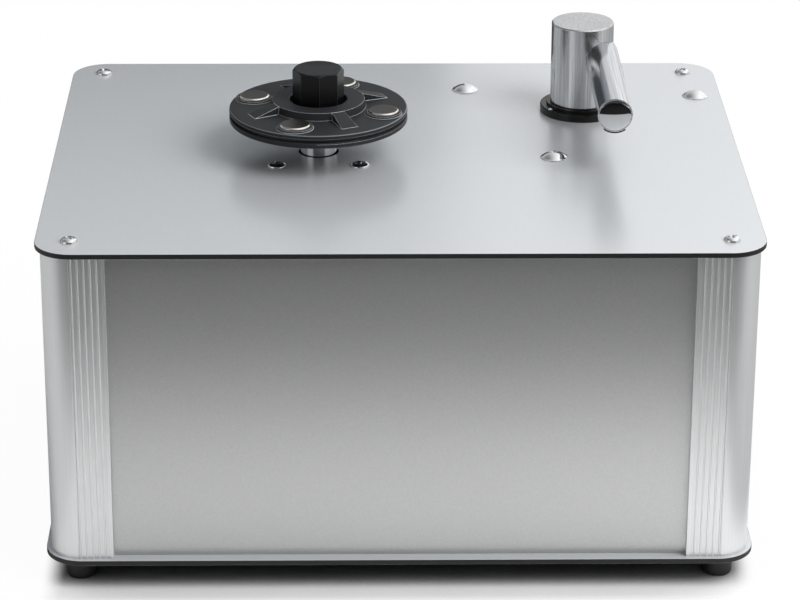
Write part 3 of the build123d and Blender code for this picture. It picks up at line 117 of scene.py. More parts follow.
# What each metal, plastic or rubber is, how it was made and what that gives the eye. Colours run
# from low to high with the grain, whose length is in mm along x, y and z. A real grain too fine to
# show is drawn as coarse as it needs. edge is the radius in mm that breaks sharp edges, and worn
# is a paler colour painted along them as a highlight, not real wear.
finishes = {
    # anodised aluminium sheet, etched first: even, a little cloudy
    "anodisedPanel": dict(
        low="B6B7B7", high="C1C2C1", grain=(0.9, 0.9, 0.9),
        metallic=0.9, rough=(0.34, 0.40), bump=0.03),
    # extruded and anodised aluminium: faint die lines up the bar, and a paler colour painted along
    # its edges as a highlight
    "extrudedAluminium": dict(
        low="D6D7D8", high="E0E1E2", grain=(0.35, 0.35, 60.0),
        metallic=0.9, rough=(0.34, 0.42), bump=0.02, edge=0.3, paintedEdgeLight="FCFCFC"),
    # injection-moulded ABS from a spark-eroded mould: black satin, with grey painted along its
    # edges as a highlight
    "blackMoulding": dict(
        low="222325", high="2A2B2D", grain=(0.35, 0.35, 0.35),
        metallic=0.0, rough=(0.38, 0.48), bump=0.10, specular=0.14, edge=0.45, paintedEdgeLight="B4B6B9"),
    # the same plastic painted grey on the disc's rounded rim: a painted highlight line round the
    # disc
    "paintedRimHighlight": dict(
        low="55575A", high="6A6C6F", grain=(0.5, 0.5, 0.5),
        metallic=0.0, rough=(0.25, 0.35), bump=0.02, specular=0.3),
    # ABS moulded smoother: deep black with some gloss, and grey painted along its edges as a
    # highlight
    "knobPlastic": dict(
        low="060607", high="09090A", grain=(0.5, 0.5, 0.5),
        metallic=0.0, rough=(0.22, 0.30), bump=0.04, specular=0.24, edge=0.25, paintedEdgeLight="606163"),
    # brushed stainless steel: dark satin with a straight grain
    "padSteel": dict(
        low="5A5650", high="66625C", grain=(0.3, 6.0, 0.3),
        metallic=1.0, rough=(0.30, 0.38), bump=0.03),
    # the same steel, ground and polished for a smoother gloss, and painted paler than the pad's
    # top: a painted highlight ring
    "polishedRimPaintedHighlight": dict(
        low="D8D6D2", high="E4E2DE", grain=(1.5, 1.5, 1.5),
        metallic=1.0, rough=(0.16, 0.22), bump=0.01),
    # turned and polished steel: bright, with fine rings
    "turnedSteel": dict(
        low="DADCDE", high="E8EAEC", grain=(3.0, 3.0, 0.15),
        metallic=1.0, rough=(0.10, 0.16), bump=0.02),
    # turned aluminium: gloss drawn out by the tool marks, and streaks up the post
    "turnedAluminium": dict(
        low="B0B2B4", high="ECEDEE", grain=(0.9, 0.9, 60.0),
        metallic=1.0, rough=(0.17, 0.26), bump=0.03, anisotropic=0.45, edge=0.4),
    # drawn and polished aluminium: a soft mirror with streaks along the tube
    "polishedAluminium": dict(
        low="BFC3C9", high="EEF0F3", grain=(0.9, 60.0, 0.9),
        metallic=1.0, rough=(0.10, 0.16), bump=0.01, edge=0.5),
    # lapped and buffed aluminium: a clean mirror
    "mirrorAluminium": dict(
        low="E6E7E9", high="EEEFF0", grain=(3.0, 3.0, 3.0),
        metallic=1.0, rough=(0.02, 0.04), bump=0.005),
    # nickel-plated steel: bright, with hard glints
    "screwSteel": dict(
        low="DEE0E1", high="ECEDEE", grain=(0.5, 0.5, 0.5),
        metallic=1.0, rough=(0.08, 0.14), bump=0.01),
    # hard black anodising: black with a sharp sheen
    "blackAnodised": dict(
        low="0C0C0D", high="131314", grain=(0.6, 0.6, 0.2),
        metallic=0.0, rough=(0.20, 0.28), bump=0.02, specular=0.35, edge=0.4),
    # moulded rubber: matt, nearly black
    "blackRubber": dict(
        low="101011", high="19191A", grain=(0.6, 0.6, 0.6),
        metallic=0.0, rough=(0.48, 0.60), bump=0.08),
    # short nylon pile: black that takes up all light
    "blackPile": dict(
        low="050505", high="0E0E0E", grain=(0.25, 0.25, 0.25),
        metallic=0.0, rough=(0.85, 0.95), bump=0.40),
    # zinc-plated sheet steel: cool grey, cloudy, half dull
    "zincSteel": dict(
        low="9A9DA0", high="B2B5B7", grain=(2.0, 2.0, 2.0),
        metallic=1.0, rough=(0.30, 0.42), bump=0.03),
    # die-cast alloy, as cast: pale grey with a fine pitted skin
    "castAlloy": dict(
        low="9C9EA0", high="ADAFB0", grain=(1.2, 1.2, 1.2),
        metallic=1.0, rough=(0.42, 0.52), bump=0.12),
    # sintered bronze: brown gold, dulled by its pores
    "sinteredBronze": dict(
        low="8C6A3C", high="A07C4A", grain=(0.4, 0.4, 0.4),
        metallic=1.0, rough=(0.40, 0.50), bump=0.10),
    # moulded polypropylene without pigment: milky and waxy
    "naturalPlastic": dict(
        low="C9CBCB", high="D6D7D6", grain=(1.5, 1.5, 1.5),
        metallic=0.0, rough=(0.35, 0.45), bump=0.04),
    # black enamel sprayed on steel: half gloss, with a slight orange peel
    "blackPaint": dict(
        low="1E1E20", high="262628", grain=(0.8, 0.8, 0.8),
        metallic=0.0, rough=(0.30, 0.42), bump=0.12),
    # moulded nylon: black with a fine satin
    "fittingPlastic": dict(
        low="131314", high="1A1A1B", grain=(0.5, 0.5, 0.5),
        metallic=0.0, rough=(0.36, 0.46), bump=0.08),
    # ABS from a polished mould: shining black
    "rockerPlastic": dict(
        low="0B0B0C", high="101011", grain=(0.8, 0.8, 0.8),
        metallic=0.0, rough=(0.14, 0.20), bump=0.02),
    # moulded nylon without pigment: cream and dull
    "terminalPlastic": dict(
        low="D3D0C4", high="DDDACF", grain=(0.8, 0.8, 0.8),
        metallic=0.0, rough=(0.40, 0.50), bump=0.06),
    # extruded PVC jacket: black, half dull
    "cableJacket": dict(
        low="1C1C1D", high="252526", grain=(1.0, 1.0, 1.0),
        metallic=0.0, rough=(0.42, 0.52), bump=0.06),
}

# deck and base: thin aluminium skins on a black polyethylene core, so that the edge shows black
sandwich = {
    "thickness": 3.0,    # mm
    "skin": 0.1,
    "core": "0E0E0F",
    "coreRough": 0.55,
    # satin anodised, its grain drawn out from front to back: a soft, faintly streaked sheen
    "face": dict(
        low="CED1D4", high="D2D5D7", grain=(0.5, 14.0, 0.5),
        metallic=0.50, rough=(0.25, 0.28), bump=0.003),
    "undersides": {"deckSandwich": 197.0, "baseSandwich": 14.0},    # height in mm
}


def surfaceInputs(tree, look):
    # noise in object space, one cell per grain length, moves the colour, the gloss and the relief
    coords = addNode(tree, "TexCoord")
    stretch = addNode(tree, "Mapping", Vector=coords.outputs["Object"],
                      Scale=[1 / (length * mm) for length in look["grain"]])
    noise = addNode(tree, "TexNoise", Vector=stretch.outputs[0],
                    Scale=1.0, Detail=3.0, Roughness=0.6)
    grain = noise.outputs["Fac"]
    smoothest, roughest = look["rough"]
    rough = addNode(tree, "MapRange", Value=grain, To_Min=smoothest, To_Max=roughest)
    bump = addNode(tree, "Bump", Strength=look["bump"], Distance=0.05 * mm, Height=grain)
    stops = [(0.25, fromHex(look["low"])), (0.75, fromHex(look["high"]))]
    colour = addNode(tree, "ValToRGB", {"stops": stops}, Fac=grain).outputs[0]
    if "edge" in look:
        edge = addNode(tree, "Bevel", {"samples": 6}, Radius=look["edge"] * mm)
        tree.links.new(edge.outputs[0], bump.inputs["Normal"])
    if "paintedEdgeLight" in look:    # painted highlight: a paler colour where the broken edge leans away from the face
        shape = addNode(tree, "NewGeometry")
        even = addNode(tree, "VectorMath", {"operation": "DOT_PRODUCT"},
                       _0=edge.outputs[0], _1=shape.outputs["Normal"])
        edgeHighlightMask = addNode(tree, "MapRange", Value=even.outputs["Value"], From_Min=0.99, From_Max=0.90)
        edgeHighlighted = addNode(tree, "Mix", {"data_type": "RGBA"},
                         _0=edgeHighlightMask.outputs[0], _6=colour, _7=fromHex(look["paintedEdgeLight"]))
        colour = edgeHighlighted.outputs[2]
    return dict(
        Base_Color=colour,
        Metallic=look["metallic"],
        Roughness=rough.outputs[0],
        Specular_IOR_Level=look.get("specular", 0.5),
        Normal=bump.outputs[0],
    )


def plainFinish(name):
    material, tree = newMaterial(name)
    look = finishes[name]
    surface = addNode(tree, "BsdfPrincipled", **surfaceInputs(tree, look))
    addNode(tree, "OutputMaterial", Surface=surface.outputs[0])
    if "anisotropic" in look:    # the tool marks run round the axis
        surface.inputs["Anisotropic"].default_value = look["anisotropic"]
        marks = addNode(tree, "Tangent", {"direction_type": "RADIAL", "axis": "Z"})
        tree.links.new(marks.outputs[0], surface.inputs["Tangent"])
    return material


def sandwichSheet(name, underside):
    # bare core wherever the surface is further from both faces than the skin
    half = sandwich["thickness"] / 2
    material, tree = newMaterial(name)
    made = surfaceInputs(tree, sandwich["face"])
    coords = addNode(tree, "TexCoord")
    split = addNode(tree, "SeparateXYZ", Vector=coords.outputs["Object"])
    away = addNode(tree, "Math", {"operation": "SUBTRACT"},
                   _0=split.outputs[2], _1=(underside + half) * mm)
    depth = addNode(tree, "Math", {"operation": "ABSOLUTE"}, _0=away.outputs[0])
    isSkin = addNode(tree, "Math", {"operation": "GREATER_THAN"},
                     _0=depth.outputs[0], _1=(half - sandwich["skin"]) * mm)
    core = addNode(tree, "BsdfPrincipled", Base_Color=fromHex(sandwich["core"]),
                   Roughness=sandwich["coreRough"], Normal=made["Normal"])
    sheet = addNode(tree, "BsdfPrincipled", **made)
    mixed = addNode(tree, "MixShader",
                    Fac=isSkin.outputs[0], _1=core.outputs[0], _2=sheet.outputs[0])
    addNode(tree, "OutputMaterial", Surface=mixed.outputs[0])
    return material


materials = {name: plainFinish(name) for name in finishes}
for name, underside in sandwich["undersides"].items():
    materials[name] = sandwichSheet(name, underside)
print("materials made:", len(materials))

nodeFinish = {
    "deckSandwich": ["deck_plate"],
    "baseSandwich": ["base_plate"],
    "extrudedAluminium": [name for name in nodes if name.startswith("corner_profile")],
    "anodisedPanel": ["front_panel", "rear_panel", "left_panel", "right_panel"],
    "screwSteel": ["deck_screws", "base_screws", "platter_screws", "flange_screws", "tank_bolts"],
    "blackRubber": ["feet", "platter_mat", "clamp_seal", "riser_seal", "tank_grommets",
                    "suction_hose", "drain_hose", "drain_plug"],
    "castAlloy": ["gearbox", "blower_impeller", "blower_pillars"],
    "zincSteel": ["gear_motor", "blower_motor", "tank_nuts", "run_capacitor"],
    "sinteredBronze": ["gearbox_bush"],
    "turnedSteel": ["output_shaft", "spindle_hub", "record_spindle", "hose_clips", "blower_shaft",
                    "drain_outlet"],
    "blackMoulding": ["platter", "clamp_disc", "knob_washer", "arm_bush"],
    "knobPlastic": ["clamp_knob"],
    "padSteel": ["clamp_pads"],
    "blackAnodised": ["arm_flange"],
    "turnedAluminium": ["arm_post"],
    "polishedAluminium": ["arm_tube", "arm_end_cap", "arm_riser"],
    "blackPile": ["arm_strips"],
    "naturalPlastic": ["tank_lid", "tank_vessel"],
    "blackPaint": ["blower_housing", "blower_cover"],
    "fittingPlastic": ["mains_inlet", "fuse_drawer", "switch_housings"],
    "rockerPlastic": ["direction_rocker", "suction_rocker"],
    "terminalPlastic": ["terminal_block"],
    "cableJacket": ["wiring"],
}
for finish, names in nodeFinish.items():
    for name in names:
        nodes[name].data.materials.clear()
        nodes[name].data.materials.append(materials[finish])
print("nodes finished:", sum(len(names) for names in nodeFinish.values()), "of", len(nodes))


# modelling steps that several pieces share
def pickOnly(*pieces):
    bpy.ops.object.select_all(action="DESELECT")
    for piece in pieces:
        piece.select_set(True)
    bpy.context.view_layer.objects.active = pieces[0]


def fixPlace():
    bpy.ops.object.transform_apply(location=True, rotation=True, scale=True)


def tidyNormals():
    # turns all faces outwards and leaves edit mode
    bpy.ops.mesh.select_all(action="SELECT")
    bpy.ops.mesh.normals_make_consistent(inside=False)
    bpy.ops.object.mode_set(mode="OBJECT")


def choose(kind, test):
    # in edit mode, selects the vertices or faces whose middle, in mm, passes the test
    bpy.ops.mesh.select_mode(type=kind)
    bpy.ops.mesh.select_all(action="DESELECT")
    piece = bpy.context.object
    shape = bmesh.from_edit_mesh(piece.data)
    for part in (shape.verts if kind == "VERT" else shape.faces):
        middle = part.co if kind == "VERT" else part.calc_center_median()
        part.select_set(bool(test(piece.matrix_world @ middle / mm)))
    shape.select_flush(True)
    bmesh.update_edit_mesh(piece.data)


def turnedPiece(name, rings, centre=(0, 0), sides=96, closed=False):
    # drawn up like lathe work: rings are (radius, height) in mm, and the rim is extruded and
    # scaled to each. A closed one comes back to its first ring, the others end in flat caps
    radius, height = rings[0]
    x, y = centre[0] * mm, centre[1] * mm
    bpy.ops.object.select_all(action="DESELECT")
    bpy.ops.mesh.primitive_circle_add(vertices=sides, radius=radius * mm,
                                      location=(x, y, height * mm),
                                      fill_type="NOTHING" if closed else "NGON")
    piece = bpy.context.object
    piece.name = name
    bpy.ops.object.mode_set(mode="EDIT")
    bpy.ops.mesh.select_all(action="SELECT")
    for nextRadius, nextHeight in rings[1:]:
        rise = (0, 0, (nextHeight - height) * mm)
        bpy.ops.mesh.extrude_region_move(TRANSFORM_OT_translate={"value": rise})
        grow = nextRadius / radius
        bpy.ops.transform.resize(value=(grow, grow, 1), center_override=(x, y, nextHeight * mm))
        radius, height = nextRadius, nextHeight
    if closed:
        bpy.ops.mesh.select_all(action="SELECT")
        bpy.ops.mesh.remove_doubles(threshold=0.002 * mm)
    tidyNormals()
    fixPlace()
    return piece


def domeRings(radius, height, crown, steps):
    # rings of a spherical cap from its rim to just short of its pole
    ball = (radius ** 2 + crown ** 2) / (2 * crown)
    rim = math.asin(radius / ball)
    turns = [rim * (1 - i / steps) for i in range(1, steps)] + [rim / 40]
    return [(ball * math.sin(t), height + crown - ball * (1 - math.cos(t))) for t in turns]


def modify(piece, kind, **settings):
    pickOnly(piece)
    bpy.ops.object.modifier_add(type=kind)
    modifier = piece.modifiers[-1]
    for field, value in settings.items():
        setattr(modifier, field, value)
    bpy.ops.object.modifier_apply(modifier=modifier.name)


def roundEdges(piece, width):
    modify(piece, "BEVEL", width=width * mm, segments=2, limit_method="ANGLE",
           angle_limit=math.radians(25))


def joined(name, pieces):
    pickOnly(*pieces)
    if len(pieces) > 1:
        bpy.ops.object.join()
    whole = bpy.context.object
    whole.name = name
    fixPlace()
    return whole


def copied(name, piece, places):
    # one copy, with its own mesh, at each (x, y, turn) in mm and degrees, and all of them joined
    copies = []
    for x, y, turn in places:
        pickOnly(piece)
        bpy.ops.object.duplicate()
        copy = bpy.context.object
        copy.location = (x * mm, y * mm, 0)
        copy.rotation_euler = (0, 0, math.radians(turn))
        copies.append(copy)
    bpy.data.objects.remove(piece)
    pickOnly(*copies)
    fixPlace()
    return joined(name, copies)


def around(centre, radius, angles):
    # the (x, y, turn) of what stands in a circle
    x, y = centre
    return [(x + radius * math.cos(math.radians(a)), y + radius * math.sin(math.radians(a)), a)
            for a in angles]


def dress(piece, finish, body, node, smooth=35):
    pickOnly(piece)
    bpy.ops.object.shade_smooth_by_angle(angle=math.radians(smooth))
    modify(piece, "WEIGHTED_NORMAL", keep_sharp=True)
    piece.data.materials.clear()
    piece.data.materials.append(materials[finish])
    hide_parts(node)
    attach(piece, body)
    print("made", piece.name, len(piece.data.polygons), "faces")


# moulded disc with a hub ring, four ramps that run out from it, and four seats for the pads
clampDisc = {
    "bore": 3.7,
    "edge": 51.2,           # outer radius
    "under": 224.8,
    "top": 227.7,
    "rimHighlightWidth": 1.0,       # width of the rim band painted grey as a highlight
    "sealGroove": (44.45, 47.55, 1.0),    # radii and depth
    "ringOuter": 26.8,
    "ringInner": 16.4,
    "ringTop": 232.5,
    "recessFloor": 228.0,
    "foot": 0.9,            # rounded foot of the ring
    "rampAngles": (25.5, 115.5, 205.5, 295.5),
    "rampRoot": 24.0,       # inside the ring's wall
    "rampShelf": 27.2,      # the ramp's top is level up to here
    "rampReach": 42.0,
    "rampTop": 232.2,
    "rampEnd": 0.1,         # height of its outer end over the disc
    "rampSink": 0.4,        # depth of its foot in the disc
    "rampWidth": (7.8, 9.9),
    "rampEdge": 0.3,
    "padCircle": 39.4,
    "padAngles": (70.8, 160.8, 250.8, 340.8),
    "seatRadius": 10.3,
    "seatTop": 228.9,
    "seatMouth": 9.2,       # its inner edge, then the wall's top and foot
    "seatWall": (8.9, 8.85),
    "seatFloor": 228.1,
}


def clampBody():
    d = clampDisc
    under, top, ringTop = d["under"], d["top"], d["ringTop"]
    edge, inner, outer = d["edge"], d["ringInner"], d["ringOuter"]
    grooveIn, grooveOut, grooveDepth = d["sealGroove"]
    wall = outer + 0.3
    rings = [
        (d["bore"], under),
        (d["bore"], d["recessFloor"]),
        (inner - 0.5, d["recessFloor"]),    # the ring, its edges rounded
        (inner, ringTop - 0.9),
        (inner + 0.25, ringTop - 0.3),
        (inner + 0.8, ringTop),
        (outer - 0.8, ringTop),
        (outer - 0.25, ringTop - 0.2),
        (outer, ringTop - 0.7),
        (wall, top + d["foot"]),            # its foot runs into the disc
        (wall + 0.25, top + 0.3),
        (wall + d["foot"], top),
        (edge - 1.3, top),                  # the rim, rounded above and eased below
        (edge - 0.55, top - 0.18),
        (edge - 0.1, top - 0.65),
        (edge, top - 1.2),
        (edge, under + 0.5),
        (edge - 0.5, under),
        (grooveOut, under),
        (grooveOut, under + grooveDepth),
        (grooveIn, under + grooveDepth),
        (grooveIn, under),
        (d["bore"], under),
    ]
    return turnedPiece("clampBody", rings, spindle, sides=160, closed=True)


def clampRamp():
    # a block cut at the shelf's end, its outer end drawn down to the disc and widened
    d = clampDisc
    root, reach = d["rampRoot"], d["rampReach"]
    low, high = d["top"] - d["rampSink"], d["rampTop"]
    narrow, wide = d["rampWidth"]
    bpy.ops.object.select_all(action="DESELECT")
    bpy.ops.mesh.primitive_cube_add(size=mm, scale=(reach - root, narrow, high - low),
                                    location=((root + reach) / 2 * mm, 0, (low + high) / 2 * mm))
    ramp = bpy.context.object
    ramp.name = "clampRamp"
    fixPlace()
    bpy.ops.object.mode_set(mode="EDIT")
    bpy.ops.mesh.select_all(action="SELECT")
    bpy.ops.mesh.bisect(plane_co=(d["rampShelf"] * mm, 0, 0), plane_no=(1, 0, 0))
    choose("VERT", lambda p: p.x > reach - 1)
    bpy.ops.transform.resize(value=(1, wide / narrow, 1), center_override=(reach * mm, 0, 0))
    choose("VERT", lambda p: p.x > reach - 1 and p.z > high - 1)
    bpy.ops.transform.translate(value=(0, 0, (d["top"] + d["rampEnd"] - high) * mm))
    tidyNormals()
    roundEdges(ramp, d["rampEdge"])
    return ramp


def padSeat():
    d = clampDisc
    outer, low, top = d["seatRadius"], d["top"], d["seatTop"]
    wallTop, wallFoot = d["seatWall"]
    rings = [
        (outer + 0.3, low - 0.3),    # a wider foot, sunk in the disc
        (outer + 0.3, low),
        (outer + 0.05, low + 0.35),
        (outer, top - 0.4),
        (outer - 0.12, top - 0.12),
        (outer - 0.4, top),
        (d["seatMouth"], top),
        (wallTop, top - 0.3),
        (wallFoot, d["seatFloor"]),
    ]
    return turnedPiece("padSeat", rings, sides=64)


def makeClamp():
    d = clampDisc
    ramps = copied("clampRamps", clampRamp(), around(spindle, 0, d["rampAngles"]))
    seats = copied("padSeats", padSeat(), around(spindle, d["padCircle"], d["padAngles"]))
    plate = joined("clampPlate", [clampBody(), ramps, seats])
    dress(plate, "blackMoulding", "clamp", "clamp_disc")
    plate.data.materials.append(materials["paintedRimHighlight"])
    rim = (d["edge"] - d["rimHighlightWidth"]) * mm
    for face in plate.data.polygons:    # the rounded part of the rim takes the grey plastic: a painted highlight
        out = math.hypot(face.center.x - spindle[0] * mm, face.center.y - spindle[1] * mm)
        face.material_index = 1 if out > rim and 0.2 < face.normal.z < 0.95 else 0


# steel discs set in the seats, each with a bevelled rim
pad = {
    "radius": 8.75,
    "low": clampDisc["seatFloor"],
    "top": 230.1,
    "bevel": 0.6,
}


def makePads():
    radius, low, top, bevel = pad["radius"], pad["low"], pad["top"], pad["bevel"]
    rings = [
        (radius, low),
        (radius, top - bevel - 0.15),
        (radius - 0.08, top - bevel),
        (radius - bevel, top - 0.08),
        (radius - bevel - 0.15, top),
        (radius - bevel - 0.6, top),
    ]
    disc = turnedPiece("steelPad", rings, sides=64)
    places = around(spindle, clampDisc["padCircle"], clampDisc["padAngles"])
    pads = copied("steelPads", disc, places)
    dress(pads, "padSteel", "clamp", "clamp_pads")
    pads.data.materials.append(materials["polishedRimPaintedHighlight"])
    for face in pads.data.polygons:    # the bevel and the wall are polished and painted paler as a highlight, the top is satin
        face.material_index = 1 if face.center.z > (low + 0.5) * mm and face.normal.z < 0.97 else 0


# an eight-sided bar turned to a shallow cone at its top, with a blind bore
knob = {
    "corner": 14.75,        # radius across the corners
    "turn": 3.5,            # degrees
    "low": 229.3,
    "top": 250.9,
    "coneLow": 249.5,
    "coneHigh": (13.3, 250.5),
    "bore": 3.7,
    "boreTop": 246.6,
    "edge": 0.22,           # width of the broken edges
}


def makeKnob():
    d = knob
    x, y = spindle
    low, top = d["low"], d["top"]
    high = top + 1          # the bar is cut to length by the cone
    bpy.ops.object.select_all(action="DESELECT")
    bpy.ops.mesh.primitive_cylinder_add(vertices=8, radius=d["corner"] * mm,
                                        depth=(high - low) * mm,
                                        location=(x * mm, y * mm, (high + low) / 2 * mm))
    body = bpy.context.object
    body.name = "clampKnob"
    body.rotation_euler = (0, 0, math.radians(90 + d["turn"]))
    fixPlace()
    wall, pole = d["corner"] + 0.05, 0.02    # just outside the corners, just off the axis
    coneRadius, coneTop = d["coneHigh"]
    rings = [
        (d["bore"], low),
        (d["corner"] - 0.5, low),
        (wall, low + 0.55),
        (wall, d["coneLow"]),
        (coneRadius, coneTop),
        (coneRadius / 2, top - 0.04),
        (0.4, top),
        (pole, top),
        (pole, d["boreTop"]),
        (d["bore"], d["boreTop"]),
        (d["bore"], low),
    ]
    cone = turnedPiece("knobCone", rings, spindle, sides=128, closed=True)
    modify(body, "BOOLEAN", operation="INTERSECT", object=cone, solver="EXACT")
    bpy.data.objects.remove(cone)
    roundEdges(body, d["edge"])
    dress(body, "knobPlastic", "knob", "clamp_knob", smooth=24)


makeClamp()
makePads()
makeKnob()
print("clamp done")

# screws with a pan head and a cross recess
panScrew = {
    "seat": 200.0,
    "shank": 2.4,
    "tip": 184.1,
    "tipBevel": 0.4,
    "crossWidth": 1.7,
    "crossTaper": (0.42, 0.62),    # the foot of the cross against its top, along and across
    # reach and depth are the cross's
    "heads": {
        "corner": {"radius": 4.7, "height": 2.4, "reach": 3.0, "depth": 1.7},
        "gearbox": {"radius": 5.3, "height": 1.8, "reach": 3.4, "depth": 1.5},
    },
    # x, y and turn
    "places": {
        "corner": [(-178.7, -140.2, 38), (178.7, -140.2, 12),
                   (-178.7, 140.2, 20), (178.7, 140.2, 33)],
        "gearbox": [(-69.3, -23.4, 45), (-21.5, -23.4, 28),
                    (-69.3, 24.4, 10), (-21.5, 24.4, 45)],
    },
    # rings of the rounded head, as shares of its radius and height
    "bulge": [(1.0, 0.2), (0.975, 0.38), (0.90, 0.6), (0.78, 0.79), (0.60, 0.92),
              (0.38, 0.985), (0.15, 1.0)],
}


def crossArm(reach, depth, top, turn):
    # a bar of the recess, narrower at its foot
    high, low = top + 0.5, top - depth
    bpy.ops.object.select_all(action="DESELECT")
    bpy.ops.mesh.primitive_cube_add(size=mm, location=(0, 0, (high + low) / 2 * mm),
                                    scale=(2 * reach, panScrew["crossWidth"], high - low))
    arm = bpy.context.object
    fixPlace()
    bpy.ops.object.mode_set(mode="EDIT")
    choose("FACE", lambda p: p.z < low + 0.1)
    bpy.ops.transform.resize(value=(*panScrew["crossTaper"], 1), center_override=(0, 0, low * mm))
    bpy.ops.object.mode_set(mode="OBJECT")
    arm.rotation_euler = (0, 0, math.radians(turn))
    fixPlace()
    return arm


def panHead(radius, height, reach, depth):
    d = panScrew
    seat, shank, tip, bevel = d["seat"], d["shank"], d["tip"], d["tipBevel"]
    rings = [(shank - bevel, tip), (shank, tip + bevel), (shank, seat),
             (radius - 0.12, seat), (radius, seat + 0.12)]
    rings += [(radius * across, seat + height * up) for across, up in d["bulge"]]
    screw = turnedPiece("panScrew", rings, sides=40)
    for turn in (0, 90):
        arm = crossArm(reach, depth, seat + height, turn)
        modify(screw, "BOOLEAN", operation="DIFFERENCE", object=arm, solver="EXACT")
        bpy.data.objects.remove(arm)
    return screw


def makePanScrews():
    groups = [copied(name + "Screws", panHead(**head), panScrew["places"][name])
              for name, head in panScrew["heads"].items()]
    screws = joined("panScrews", groups)
    dress(screws, "screwSteel", "case", "deck_screws", smooth=32)


# bolts with a low domed head, from which the tank hangs
domedBolt = {
    "head": 7.85,
    "seat": 200.0,
    "rim": 0.6,                 # height of the head's edge
    "top": 203.4,
    "shank": 3.0,
    "tip": 173.0,
    "tipBevel": 0.5,
    "middle": (109.6, 66.0),    # x and y of the circle that the three stand on
    "circle": 78.9,
    "angles": (147.4, 22.9, -104.2),
}


def makeDomedBolts():
    d = domedBolt
    head, seat, shank, tip, bevel = d["head"], d["seat"], d["shank"], d["tip"], d["tipBevel"]
    rim = seat + d["rim"]
    domeFoot = rim + 0.04
    rings = [
        (shank - bevel, tip),
        (shank, tip + bevel),
        (shank, seat),
        (head - 0.12, seat),
        (head, seat + 0.15),
        (head, rim - 0.15),
        (head - 0.15, rim),
        (head - 0.5, domeFoot),
    ]
    rings += domeRings(head - 0.5, domeFoot, d["top"] - rim - 0.04, steps=10)
    bolt = turnedPiece("domedBolt", rings, sides=64)
    bolts = copied("domedBolts", bolt, around(d["middle"], d["circle"], d["angles"]))
    dress(bolts, "screwSteel", "case", "tank_bolts")


# the cap pressed into the arm's end, a shallow polished dome on a spigot
endCap = {
    "axis": (122.0, 236.6),    # x and z of the tube
    "face": -42.3,             # y of the tube's end
    "radius": 9.0,
    "crown": 0.8,
    "spigot": (8.35, 4.0),     # radius and depth
    "seat": 1.95,
}


def makeEndCap():
    d = endCap
    radius, seat = d["radius"], d["seat"]
    spigot, depth = d["spigot"]
    rings = [(spigot, -depth), (spigot, -seat), (radius, -seat), (radius, -0.06)]
    rings += domeRings(radius, 0, d["crown"], steps=16)
    cap = turnedPiece("endCap", rings)
    x, z = d["axis"]
    cap.rotation_euler = (math.radians(90), 0, 0)
    cap.location = Vector((x, d["face"], z)) * mm
    fixPlace()
    dress(cap, "mirrorAluminium", "vacuum_arm", "arm_end_cap")


makePanScrews()
makeDomedBolts()
makeEndCap()
print("screws, bolts and end cap done")

# pale floor, a room that is dark in front and bright at its sides, one soft lamp, and cards that
# only reflections see. Lengths are in m
stage = {
    "floorSize": 12.0,
    "floorColours": ("F4F4F4", "F6F6F6"),
    "caseHalf": (0.187, 0.168),    # half the width and depth that the floor stays paper under
    "glow": (0.0, 0.014),          # past it, the floor turns plain white to the camera over this
    "white": 0.97,                 # and by this share
    "corner": 0.09,                # reach of the painted contact shade where the floor meets the machine
    # the room's brightness round the machine, by the angle from the front, left side negative
    "around": ((-180, 0.72), (-140, 0.48), (-90, 0.30), (-76, 0.40), (-70, 0.95), (-40, 0.95),
               (-32, 0.06), (0, 0.05), (36, 0.06), (46, 0.70), (120, 0.80), (150, 0.95),
               (168, 0.95), (180, 0.72)),
    "above": (0.18, 1.35),         # and overhead, left and right
    "aboveAcross": 0.6,            # sideways part of the direction where these are reached
    "aboveFrom": (0.35, 0.9),      # upward part of the direction where overhead begins and rules
    "lamp": {"place": (1.10, -0.75, 1.40), "target": (0, 0, 0.15), "size": (1.2, 1.2),
             "power": 38},         # W
    # middle, size, turn in degrees and brightness
    "softBox": {"middle": (0.80, 1.15, 0.95), "size": (0.55, 0.50), "turn": (60, 0, -35),
                "bright": 1.9},
    # middle, size, tilt from level, and the greys below and above
    "cards": {
        "frontCard": ((0, -3.15, 0.002), (2.4, 5.5), 0, ("1C1C1C", "1C1C1C")),
        "leftCard": ((-1.10, 0.30, 0.002), (1.70, 1.40), 0, ("D8D8D8", "D8D8D8")),
        "rightCard": ((1.10, 0.30, 0.002), (1.70, 1.40), 0, ("A4A4A4", "A4A4A4")),
        "streakCard": ((-0.17, 0.95, 0.49), (0.15, 0.26), 90, ("26282A", "26282A")),
        "backCard": ((-0.68, 0.62, 0.36), (1.46, 0.72), 90, ("404346", "ACB0B4")),
    },
    "cardFade": (0.34, 0.50),      # heights between which the lower grey turns to the upper
}


